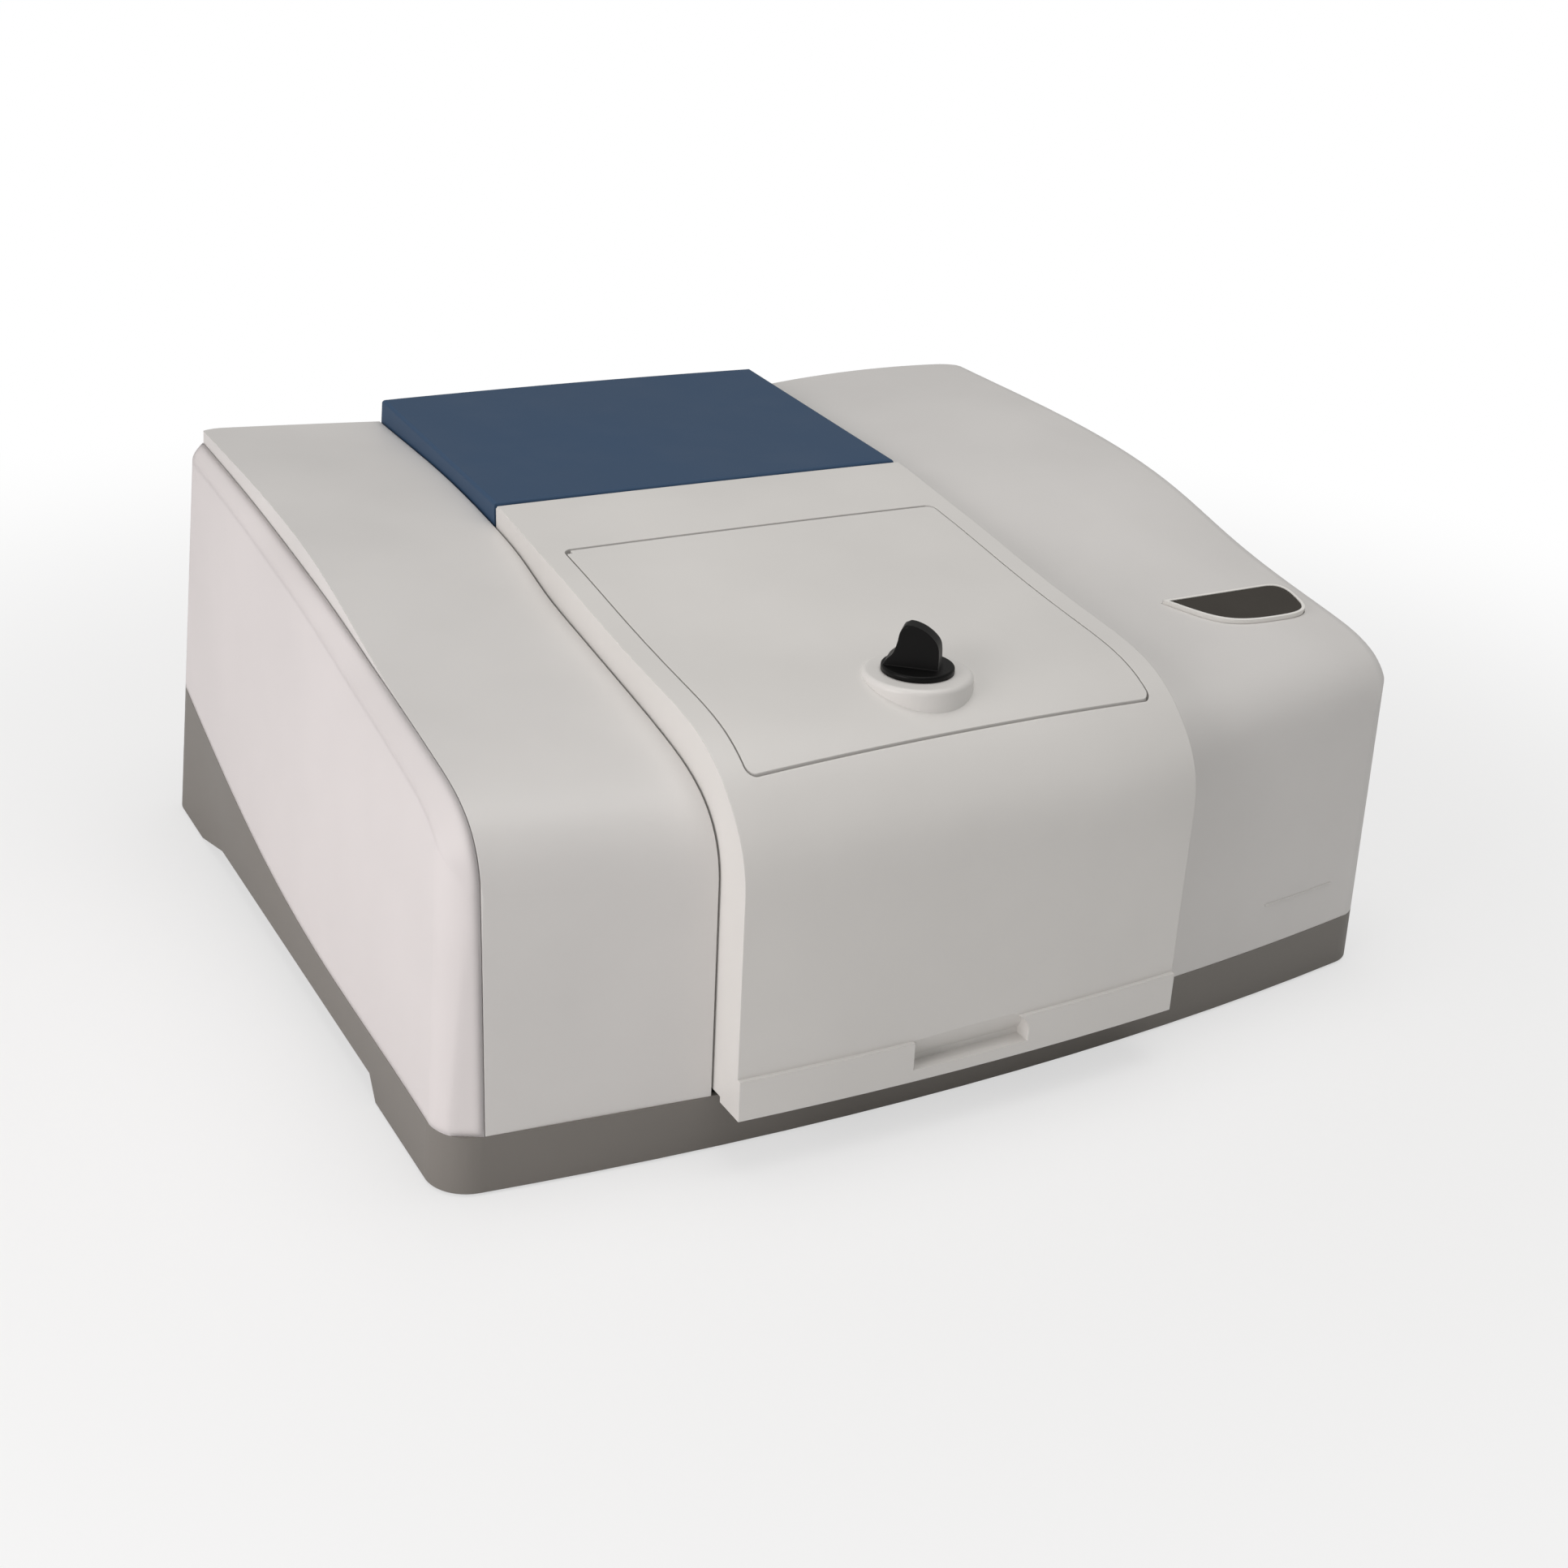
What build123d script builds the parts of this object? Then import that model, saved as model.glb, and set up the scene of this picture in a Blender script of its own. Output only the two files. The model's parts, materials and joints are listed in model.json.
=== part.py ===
from build123d import *
import math
import os

# A bench-top infrared spectrometer. X runs across the front, Y from front to back, Z up.
# The origin is on the bench, under the middle of the bounding box.

# Overall body
body_width = 540.0
body_depth = 521.0
case_top = 270.0
bow_sag = 20.5
rear_sag = 12.0
side_draft = 2.6
rear_lean = 12.0
front_corner = 21.0
rear_corner = 25.0
wall = 3.0
sheet = 2.0
seam_gap = 0.4
running_gap = 0.06
fit_gap = 0.3

# Base tray
foot_lift = 1.5
tray_floor = 14.0
tray_front_top = 29.0
foot_zone_front = 106.0
foot_zone_rear = 80.0
arch_ramp = 44.0
foot_ramp = 9.0
arch_height = 12.5
rear_bay_margin = 38.0
foot_radius = 14.0
foot_height = 6.0
foot_inset_x = 52.0
foot_inset_y = 62.0
foot_chamfer = 1.0

# Covers
side_cover_width = 21.0
bevel_drop = 10.0
cover_relief = 0.2
right_edge_round = 12.0
rib_inset = 35.0
rib_length = 51.0
rib_height = 55.0
rib_width = 0.9
rib_proud = 0.6
lid_offset = -21.5
lid_width = 242.4
lid_gap = 1.2
skirt_depth = 42.0
inner_shoulder = 137.0
outer_shoulder = 148.0
cover_rear_margin = 67.0

# Sample lid
strip_proud = 2.2
lid_stand_off = 21.8
lid_floor = 29.7
lid_skirt = 30.0
lid_shoulder = 140.0
lid_rear = 265.0
strip_top = 50.5
pull_width = 64.0
pull_lip = 36.0
pull_depth = 9.0
pull_corner = 11.0
pull_near_corner = 2.0
pull_top = 52.0
opening_round = 5.0
ledge_space = 2.0
hatch_arm = 12.0
lid_axis_inset = 20.0
lid_axis_drop = 7.4
lid_rear_chamfer = 2.0
hinge_pin_radius = 1.5
hinge_eye_radius = 3.0
hinge_eye_width = 4.0
lid_hinge_inset = 28.0
hinge_drop = 36.0
hinge_neck = 16.0
hinge_flange = 18.0

# Sample hatch in the lid
hatch_front = 7.0
hatch_rear_margin = 57.0
hatch_margin = 12.0
hatch_side_gap = 0.8
hatch_front_gap = 1.3
hatch_rear_gap = 1.8
hatch_ledge = 8.0
hatch_axis_inset = 16.0
hatch_axis_drop = 7.2
hatch_pin_radius = 1.2
hatch_eye_radius = 2.6
hatch_eye_inset = 4.0

# Latch knob on the hatch
knob_distance = 43.8
knob_offset = -2.0
boss_height = 206.5
boss_radius = 26.3
boss_edge = 2.5
knob_radius = 17.2
knob_flange = 2.8
knob_neck = 4.5
knob_neck_height = 9.0
grip_height = 24.0
grip_front = 9.0
grip_rear = 7.0
grip_foot = 15.5
grip_thickness = 9.5
grip_round = 4.0
grip_edge = 1.5
grip_turn = -45.0
spindle_radius = 4.0
spindle_drop = 30.0
tongue_length = 35.0
tongue_width = 12.0
tongue_thickness = 4.0

# Rear service cover
service_gap = 2.5
service_front_height = 235.6
service_pitch = 4.2
service_floor = 209.0
service_ledge = 4.0
service_ledge_margin = 81.0
service_round = 2.0

# Status window
window_inset = 66.0
window_distance = 81.0
window_length = 74.0
window_depth = 30.0
window_turn = 28.0
window_belly = (16.0, -21.0)
window_belly_rise = 8.0
window_tilt = 9.0
window_height = 195.8
window_thick = 2.5
bezel_rim = 1.6
bezel_tip = 3.0
bezel_depth = 8.0
bezel_proud = 0.4
indicator_pitch = 18.0
indicator_radius = 2.5

# Rear panel
panel_setback = 67.0
panel_tab_gap = 4.5
panel_shoulder = 188.0
fan_size = 80.0
fan_depth = 25.0
fan_bore = 38.0
fan_offset = -40.5
fan_z = 140.0
fan_hub = 17.0
fan_blades = 7
fan_pitch = 38.0
fan_shaft = 3.0
fan_screw_pitch = 71.5
screw_radius = 2.0
screw_head = 3.6
blade_chord = 16.0
blade_thick = 1.8
guard_rings = (12.0, 20.0, 28.0, 36.0)
guard_wire = 1.8
inlet_inset = 80.0
inlet_z = 120.0
inlet_flange = 6.0
inlet_depth = 17.0
inlet_pin_pitch = 7.0
inlet_pin_rise = 4.0
inlet_pin_length = 14.0
socket_width = 27.0
socket_height = 19.0
switch_pitch = 27.0
switch_width = 22.0
switch_height = 30.0
switch_depth = 14.0
fuse_pitch = 35.0
fuse_radius = 6.0
fuse_length = 26.0
fuse_slot = 1.5
fuse_slot_length = 9.0
rocker_throw = 12.0
port_inset = 40.0
port_z = 112.0
port_width = 16.0
port_height = 14.0
port_depth = 16.0
vent_inset = 92.0
vent_count = 9
vent_pitch = 10.0
vent_width = 5.0
vent_length = 84.0

# Optical bench
isolator_radius = 13.0
isolator_height = 7.0
bench_thickness = 12.0
bench_front = 30.0
bench_rear_margin = 109.0
bench_margin = 32.0
beam_distance = 140.0
beam_rise = 49.0
stud_radius = 2.1
stud_pitch_x = 150.0
stud_pitch_y = 120.0

# Sample compartment
tub_gap = 5.0
tub_drop = 12.0
tub_front = 6.0
tub_rear_margin = 26.0
tub_lip = 28.0
beam_port = 16.0
ring_radius = 22.0
ring_depth = 5.0
seal_height = 3.5
seal_width = 5.0
card_width = 50.8
card_height = 76.2
card_thickness = 2.0
card_sight = 10.0
holder_thickness = 6.0
card_lift = 12.0

# Interferometer
block_gap = 17.1
block_margin = 34.0
block_centre_offset = -1.0
block_front = 34.0
block_rear = 192.0
block_wall = 6.0
block_height = 94.0
block_cover = 4.0
cover_screw_radius = 2.2
splitter_radius = 22.0
splitter_thick = 5.0
cube_radius = 15.0
cube_length = 18.0
cube_mouth_share = 0.85
cube_hollow_share = 0.6
mount_share = 1.5
carriage_depth = 14.0
rod_radius = 3.0
rod_margin = 29.0
rod_drop = 23.0
scan_half = 4.0
coil_radius = 11.0
coil_wall = 1.5
magnet_radius = 18.0
magnet_length = 26.0
coil_length = 24.0
cube_clear = 30.0
magnet_slot = 1.0

# Detector, source and electronics
mirror_radius = 26.0
mirror_thick = 8.0
mirror_focus = 71.5
source_focus = 20.0
detector_inset = 74.0
detector_distance = 190.0
source_distance = 214.0
source_depth = 50.0
laser_radius = 16.0
laser_rise = 24.0
laser_margin = 48.0
board_height = 16.0
board_thick = 1.6
board_gap = 12.0
board_tub_gap = 46.0
board_bench_gap = 20.0
chip_size = 16.0
capacitor_radius = 6.0
capacitor_height = 18.0
source_fin = 8.0
source_fins = 7
detector_radius = 14.0
detector_length = 30.0
desiccant_distance = 72.0
desiccant_radius = 21.0
desiccant_height = 70.0
supply_distance = 262.0
supply_clear = 14.5
supply_margin = 12.0
supply_height = 56.0
supply_slot_pitch = 14.0
supply_slot_margin = 11.0

# Sizes that follow from the ones above
face_y = lid_stand_off + strip_proud - body_depth / 2
rear_y = body_depth / 2
half_width = body_width / 2
bow_radius = (half_width**2 + bow_sag**2) / (2 * bow_sag)
seam_x = side_cover_width - half_width
lid_left = lid_offset - lid_width / 2
lid_right = lid_offset + lid_width / 2
left_inner = lid_left - lid_gap
right_inner = lid_right + lid_gap
hatch_rear = lid_rear - hatch_rear_margin
tub_rear = lid_rear - tub_rear_margin
service_front = lid_rear + service_gap
panel_distance = body_depth - lid_stand_off - strip_proud - panel_setback
bench_rear = body_depth - bench_rear_margin
service_ledge_end = body_depth - service_ledge_margin
detector_x = detector_inset - half_width
block_left = right_inner + block_gap
block_right = half_width - block_margin
splitter_x = (block_left + block_right) / 2 + block_centre_offset
rod_spread = (block_right - block_left) / 2 - rod_margin
laser_length = bench_rear - source_distance - laser_margin
supply_width = left_inner - seam_x - supply_clear * 2
supply_length = bench_rear - supply_distance - supply_margin
supply_slots = int(supply_length / supply_slot_pitch) - 1
board_left = lid_left + board_gap
board_right = lid_right - board_gap
board_front = tub_rear + board_tub_gap
board_rear = bench_rear - board_bench_gap
fan_x = lid_offset + fan_offset
inlet_x = half_width - inlet_inset
fuse_x = inlet_x - fuse_pitch
switch_x = fuse_x - switch_pitch
port_x = lid_right - port_inset
vent_x = vent_inset - half_width
floor_top = tray_floor + wall
side_lean = math.tan(math.radians(side_draft))
bench_bottom = floor_top + isolator_height
bench_top = bench_bottom + bench_thickness
beam_z = bench_top + beam_rise
panel_y = rear_y - panel_setback


def place(distance):
    """Y of a point that lies a distance behind the middle of the front face."""
    return face_y + distance


beam_y = place(beam_distance)

# Side curves as a shoulder height, an end slope and points (distance back, height above the shoulder)
cover_reach = body_depth - cover_rear_margin
inner_side = (inner_shoulder, 0.22, [
    (15, 33.4), (51, 47.6), (100, 56.5), (158, 65.8), (193, 72.4), (221, 80.2), (258, 86.7), (325, 93.6),
    (cover_reach, 98.5),
])
outer_side = (outer_shoulder, 0.19, [
    (13, 29.7), (48, 42), (88, 49.2), (133, 59), (175, 70.5), (210, 78.5), (246, 84), (313, 89.5),
    (cover_reach, 95.5),
])
seam_side = (outer_shoulder, 0.19, [
    (13, 29.7), (48, 42), (88, 49.2), (133, 56.5), (175, 63.8), (210, 68.6), (246, 72.8), (313, 79.6),
    (cover_reach, 88.5),
])
lid_side = (lid_shoulder, 0.3, [
    (14.5, 36.5), (50, 59.5), (93, 66.7), (152, 75), (202, 83.5), (240, 89.2), (lid_rear + 27, 96),
])
waist_line = [(0, 29), (95, 33.5), (200, 35.8), (290, 46), (380, 66.3), (body_depth - 24, 101)]


def bow(x):
    """How far the bowed front has moved back at x."""
    return bow_radius - math.sqrt(bow_radius**2 - x**2)


def block(x, y, z, mode=Mode.ADD):
    """A box between pairs of limits."""
    with Locations(((x[0] + x[1]) / 2, (y[0] + y[1]) / 2, (z[0] + z[1]) / 2)):
        Box(x[1] - x[0], y[1] - y[0], z[1] - z[0], mode=mode)


def rod(axis, centre, radius, length, mode=Mode.ADD):
    """A round bar, centred on a point and lying along X, Y or Z."""
    turn = {"X": (0, 90, 0), "Y": (90, 0, 0), "Z": (0, 0, 0)}[axis]
    with Locations(centre):
        Cylinder(radius, length, rotation=turn, mode=mode)


def tube(axis, centre, outer, inner, length):
    """A round bar with a bore right through it."""
    rod(axis, centre, outer, length)
    rod(axis, centre, inner, length, Mode.SUBTRACT)


def curve_height(curve, distance):
    """Height of a side curve at a distance behind its own plumb front."""
    shoulder, slope, points = curve
    for low, high in zip(points, points[1:]):
        if distance <= high[0]:
            share = (distance - low[0]) / (high[0] - low[0])
            return shoulder + low[1] + share * (high[1] - low[1])
    return shoulder + points[-1][1]


def lid_height(distance, x):
    """Height of the lid's outside at a distance behind the front face."""
    return curve_height(lid_side, distance - bow(x) + lid_stand_off)


def plan_outline(height, inset):
    """Plan section of the case at one height: bowed front and rear, rounded corners."""
    side = half_width - inset - height * side_lean
    front = face_y + inset
    corner = front + bow(side)
    rear = rear_y - inset - height * math.tan(math.radians(rear_lean))
    with BuildSketch(Plane.XY.offset(height)) as outline:
        with BuildLine():
            ThreePointArc((-side, corner), (0, front), (side, corner))
            Line((side, corner), (side, rear - rear_sag))
            ThreePointArc((side, rear - rear_sag), (0, rear), (-side, rear - rear_sag))
            Line((-side, rear - rear_sag), (-side, corner))
        make_face()
        fillet(outline.vertices().sort_by(Axis.Y)[:2], front_corner - inset)
        fillet(outline.vertices().sort_by(Axis.Y)[-2:], rear_corner - inset)
    return outline.sketch


def envelope(inset):
    """The whole case as one leaning solid, which the tray and the covers are cut to."""
    with BuildPart() as whole:
        loft([plan_outline(0, inset), plan_outline(case_top, inset)], ruled=True)
    return whole.part


def slab(x, y, z):
    """A separate box between pairs of limits."""
    with BuildPart() as piece:
        block(x, y, z)
    return piece.part


def curved_section(x, curve, start, inset, floor):
    """Upright section of a cover at x: a plumb front, a round shoulder and a rising top."""
    shoulder, slope, shape = curve
    front = start + inset
    points = [(front + back, shoulder + rise - inset) for back, rise in shape]
    with BuildSketch(Plane.YZ.offset(x)) as section:
        with BuildLine():
            Line((front, floor), (front, shoulder - inset))
            Spline((front, shoulder - inset), points[0], points[1], tangents=[(0, 1), (1, slope)])
            Spline(*points[1:], tangents=[(1, slope), (1, 0.05)])
            Line(points[-1], (points[-1][0], floor))
            Line((points[-1][0], floor), (front, floor))
        make_face()
    return section.sketch


def cover_solid(stations, curves, inset, floor, reach=0.0):
    """A cover's solid form, drawn through sections that follow the bowed front."""
    sections = [
        curved_section(x, curve, place(bow(x) - reach), inset, floor)
        for x, curve in zip(stations, curves)
    ]
    with BuildPart() as form:
        loft(sections, ruled=len(sections) == 2)
    return form.part


def side_plane(inset):
    """The leaning plane of the left side, facing outward."""
    return Plane(origin=(inset - half_width, 0, 0), z_dir=(-1, 0, side_lean))


def waist_solid():
    """Everything under the sweeping line where the covers meet the tray."""
    points = [(place(back), height) for back, height in waist_line]
    front, rear = points[0], points[-1]
    with BuildPart() as under:
        with BuildSketch(Plane.YZ.offset(-half_width)):
            with BuildLine():
                Line((front[0] - bow_sag, -wall), (front[0] - bow_sag, front[1]))
                Line((front[0] - bow_sag, front[1]), front)
                Spline(*points)
                Line(rear, (rear[0] + bow_sag, rear[1]))
                Line((rear[0] + bow_sag, rear[1]), (rear[0] + bow_sag, -wall))
                Line((rear[0] + bow_sag, -wall), (front[0] - bow_sag, -wall))
            make_face()
        extrude(amount=body_width)
    return under.part


case = envelope(0)
case_inside = envelope(wall)
below_waist = waist_solid()

# Base tray: skirts that reach the bench at the front and the rear, arches at the sides
foot_x = half_width - foot_inset_x
foot_rear_inset = foot_zone_rear / 2
isolator_x = foot_x - isolator_radius
arch_start = place(foot_zone_front)
arch_end = rear_y - foot_zone_rear
bay_half = half_width - rear_bay_margin
foot_spots = [(side * foot_x, y) for side in (-1, 1) for y in (place(foot_inset_y), rear_y - foot_rear_inset)]
isolator_spots = [
    (side * isolator_x, y)
    for side in (-1, 1)
    for y in (place(bench_front) + isolator_radius * 2, place(bench_rear) - isolator_radius * 2)
]
tray_inside = case_inside & slab((-half_width, half_width), (face_y, rear_y), (floor_top, case_top))
under_front = slab((-half_width, half_width), (face_y, arch_start - wall), (-wall, tray_floor))
under_rear = slab((-half_width, half_width), (arch_end + wall, rear_y), (-wall, tray_floor))

with BuildPart() as base_tray:
    add(case)
    add(below_waist, mode=Mode.INTERSECT)
    with BuildSketch(Plane.YZ.offset(-half_width)):
        with BuildLine():
            Polyline(
                (face_y - bow_sag, -wall),
                (face_y - bow_sag, foot_lift),
                (arch_start, foot_lift),
                (arch_start + foot_ramp, arch_height),
                (arch_end - arch_ramp, arch_height),
                (arch_end, foot_lift),
                (rear_y + bow_sag, foot_lift),
                (rear_y + bow_sag, -wall),
                close=True,
            )
        make_face()
    extrude(amount=body_width, mode=Mode.SUBTRACT)
    add(tray_inside, mode=Mode.SUBTRACT)
    add(under_front & case_inside, mode=Mode.SUBTRACT)
    add(under_rear & case_inside, mode=Mode.SUBTRACT)
    block((-bay_half, bay_half), (panel_y + sheet, rear_y + wall), (tray_front_top, case_top), Mode.SUBTRACT)
    for x, y in foot_spots:
        rod("Z", (x, y, (foot_height + tray_floor) / 2), foot_radius - wall, tray_floor - foot_height)
base_tray.part.label = "base_tray"

with BuildPart() as rubber_feet:
    for x, y in foot_spots:
        rod("Z", (x, y, foot_height / 2), foot_radius, foot_height)
    chamfer(rubber_feet.faces().filter_by(Axis.Z).group_by(Axis.Z)[0].edges(), foot_chamfer)
rubber_feet.part.label = "rubber_feet"


def side_cover_form(inset, inner_x):
    """The left side cover's form up to inner_x; its top falls away to the outer edge as a long bevel."""
    start = place(bow(seam_x) + cover_relief)
    outer = curved_section(-half_width, seam_side, start, inset + bevel_drop, tray_floor)
    inner = curved_section(inner_x, seam_side, start, inset, tray_floor)
    with BuildPart() as form:
        loft([outer, inner], ruled=True)
        with BuildSketch(side_plane(inset + cover_relief)):
            Rectangle(body_depth * 2, body_depth * 2)
        extrude(amount=side_cover_width, mode=Mode.SUBTRACT)
    return form.part


with BuildPart() as left_side_cover:
    add(side_cover_form(0, seam_x - seam_gap))
    add(case, mode=Mode.INTERSECT)
    add(side_cover_form(wall, seam_x + wall) & case_inside, mode=Mode.SUBTRACT)
    add(below_waist, mode=Mode.SUBTRACT)
left_side_cover.part.label = "left_side_cover"

# Module covers: ledges along their inner walls carry the rear service cover
ledge_y = (place(service_front), place(service_ledge_end))
ledge_z = (service_floor - wall * 4 / 3, service_floor)
bench_zone = (place(bench_front) - wall, rear_y)
left_curves = (outer_side, inner_side)
with BuildPart() as left_top_cover:
    add(cover_solid((seam_x, left_inner), left_curves, 0, tray_front_top, -cover_relief))
    add(case, mode=Mode.INTERSECT)
    add(cover_solid((seam_x + wall, left_inner - wall), left_curves, wall, 0), mode=Mode.SUBTRACT)
    add(cover_solid((seam_x - wall, left_inner + wall), left_curves, skirt_depth, 0), mode=Mode.SUBTRACT)
    add(below_waist, mode=Mode.SUBTRACT)
    block((left_inner - wall * 2, left_inner + wall), bench_zone, (0, bench_top + wall), Mode.SUBTRACT)
    block((left_inner - wall, lid_left + service_ledge), ledge_y, ledge_z)
left_top_cover.part.label = "left_top_cover"


# Right cover: one moulding over the top, front and right side, with the status window in it
window_plane = Plane(
    origin=(half_width - window_inset, place(window_distance), window_height),
    x_dir=(1, 0, 0),
    z_dir=(0, -math.sin(math.radians(window_tilt)), math.cos(math.radians(window_tilt))),
)


def window_prism(grow, low, high):
    """The window's drop outline, made larger by a rim and given a height."""
    right = window_length / 2 + grow
    tip = (-window_length / 2 - bezel_tip * grow / bezel_rim, window_depth / 2 + grow)
    turn = (window_turn, tip[1])
    low_right = (window_belly[0], -tip[1])
    low_left = (window_belly[1] - grow, window_belly_rise - tip[1])
    with BuildPart() as prism:
        with BuildSketch(window_plane.offset(low)):
            with BuildLine():
                Line(tip, turn)
                Spline(turn, (right, 0), low_right, tangents=[(1, 0), (-1, 0)])
                Spline(low_right, low_left, tip, tangents=[(-1, 0), (-0.6, 1)])
            make_face()
        extrude(amount=high - low)
    return prism.part


def right_form(inset, edge_round):
    """The right cover's form, drawn in by an inset; its side leans in like the case."""
    stations = (right_inner + inset, (right_inner + half_width) / 2, half_width)
    with BuildPart() as form:
        add(cover_solid(stations, (inner_side, outer_side, outer_side), inset, 0, -cover_relief))
        with BuildSketch(Plane(origin=(half_width - cover_relief - inset, 0, 0), z_dir=(1, 0, side_lean))):
            Rectangle(body_depth * 3, body_depth * 3)
        extrude(amount=right_inner, mode=Mode.SUBTRACT)
        if edge_round > 0:
            outer = form.faces().sort_by(Axis.X)[-1]
            rim = [edge for edge in outer.edges() if edge.geom_type == GeomType.BSPLINE]
            fillet(rim, edge_round)
    return form.part


right_hollow = right_form(wall, 0)
behind_panel = slab((right_inner + wall, bay_half), (panel_y, rear_y), (tray_front_top, case_top))
with BuildPart() as right_top_cover:
    add(right_form(0, right_edge_round))
    add(case, mode=Mode.INTERSECT)
    rib_x = (half_width - rib_inset - rib_length, half_width - rib_inset)
    rib_z = (rib_height, rib_height + rib_width)
    add(right_form(-rib_proud, 0) & slab(rib_x, (face_y, place(bow_sag)), rib_z))
    add(right_hollow & case_inside, mode=Mode.SUBTRACT)
    add(right_hollow & behind_panel, mode=Mode.SUBTRACT)
    add(
        cover_solid((right_inner - wall, right_inner + wall * 2), (inner_side, inner_side), skirt_depth, 0),
        mode=Mode.SUBTRACT,
    )
    add(below_waist, mode=Mode.SUBTRACT)
    block((right_inner - wall, right_inner + wall * 2), bench_zone, (0, bench_top + wall), Mode.SUBTRACT)
    block((lid_right - service_ledge, right_inner + wall), ledge_y, ledge_z)
    add(window_prism(bezel_rim + fit_gap, -window_length / 2, bezel_depth), mode=Mode.SUBTRACT)
right_top_cover.part.label = "right_top_cover"

with BuildPart() as window_bezel:
    add(window_prism(bezel_rim, -bezel_depth, bezel_proud))
    add(window_prism(0, -bezel_depth, bezel_proud), mode=Mode.SUBTRACT)
window_bezel.part.label = "window_bezel"

with BuildPart() as status_window:
    add(window_prism(0, -window_thick, 0))
status_window.part.label = "status_window"

# The indicator board hangs under the window, its lamps just behind the smoked lens
with BuildPart() as status_board:
    with BuildSketch(window_plane.offset(-bezel_depth - board_thick)):
        Rectangle(window_length, window_depth + wall * 2)
    extrude(amount=board_thick)
    with BuildSketch(window_plane.offset(-bezel_depth)):
        with GridLocations(indicator_pitch, 0, 3, 1):
            Circle(indicator_radius)
    extrude(amount=bezel_depth - window_thick * 2)
status_board.part.label = "status_board"


# Rear service cover: sits on the ledges of the two module covers
def service_form(inset, floor):
    """The service cover's form drawn in by an inset, with a gently rising top."""
    front = place(service_front) + inset
    top = service_front_height - inset
    rise = (rear_y - front) * math.tan(math.radians(service_pitch))
    with BuildPart() as form:
        with BuildSketch(Plane.YZ.offset(lid_left + inset)):
            with BuildLine():
                Polyline((front, floor), (front, top), (rear_y, top + rise), (rear_y, floor), close=True)
            make_face()
        extrude(amount=lid_width - inset * 2)
    return form.part


with BuildPart() as service_cover:
    add(service_form(0, service_floor))
    add(case, mode=Mode.INTERSECT)
    fillet(service_cover.faces().sort_by(Axis.Z)[-1].edges(), service_round)
    add(service_form(wall, 0) & case_inside, mode=Mode.SUBTRACT)
service_cover.part.label = "service_cover"

# Sample lid: a bowed shell whose front, top and short side skirts cover the sample well
lid_stations = (lid_left, 0, lid_right)
lid_curves = (lid_side, lid_side, lid_side)
lid_front = face_y - lid_stand_off
lid_hinge = lid_rear - lid_axis_inset
lid_axis = (place(lid_hinge), lid_height(lid_hinge, 0) - lid_axis_drop)
lid_hinges = (lid_left + lid_hinge_inset, lid_right - lid_hinge_inset)
ear_offset = hinge_eye_width / 2 + fit_gap + wall / 2
opening_x = (lid_left + hatch_margin, lid_right - hatch_margin)
opening_y = (place(hatch_front), place(hatch_rear))
hatch_x = (opening_x[0] + hatch_side_gap, opening_x[1] - hatch_side_gap)
hatch_y = (opening_y[0] + hatch_front_gap, opening_y[1] - hatch_rear_gap)
hatch_hinge = hatch_rear - hatch_axis_inset
hatch_axis = (place(hatch_hinge), lid_height(hatch_hinge, 0) - hatch_axis_drop)
hatch_eye_step = hatch_eye_inset + hinge_eye_width / 2
hatch_hinges = ((-1, hatch_x[0] + hatch_eye_step), (1, hatch_x[1] - hatch_eye_step))
ledge_stop = place(hatch_hinge) - hatch_eye_radius - ledge_space


def lid_form(inset, stations=lid_stations, floor=0.0):
    """The lid's form drawn in by an inset; a negative inset stands proud."""
    return cover_solid(stations, lid_curves, inset, floor, lid_stand_off)


def rounded_slab(x, y, z, radius):
    """A separate box with its upright edges rounded."""
    with BuildPart() as piece:
        block(x, y, z)
        fillet(piece.edges().filter_by(Axis.Z), radius)
    return piece.part


def pull_mouth():
    """The finger pull: deepest over its lip, running out at its top, one low corner round."""
    reach = wall * 2
    with BuildPart() as mouth:
        with BuildSketch(Plane.XZ.offset(reach - lid_front)) as outline:
            with Locations((lid_offset, (pull_lip + pull_top) / 2)):
                Rectangle(pull_width, pull_top - pull_lip)
            low = outline.vertices().group_by(Axis.Z)[0].sort_by(Axis.X)
            fillet(low[0], pull_near_corner)
            low = outline.vertices().sort_by(Axis.Z).group_by(Axis.Z)[0].sort_by(Axis.X)
            fillet(low[-1], pull_corner)
        extrude(amount=-reach - pull_depth)
    with BuildPart() as wedge:
        with BuildSketch(Plane.YZ.offset(lid_offset - pull_width)):
            with BuildLine():
                Polyline(
                    (lid_front - reach, pull_lip - wall),
                    (lid_front + pull_depth - strip_proud, pull_lip - wall),
                    (lid_front + pull_depth - strip_proud, pull_lip + wall),
                    (lid_front, pull_top),
                    (lid_front - reach, pull_top),
                    close=True,
                )
            make_face()
        extrude(amount=pull_width * 2)
    return mouth.part & wedge.part


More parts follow.
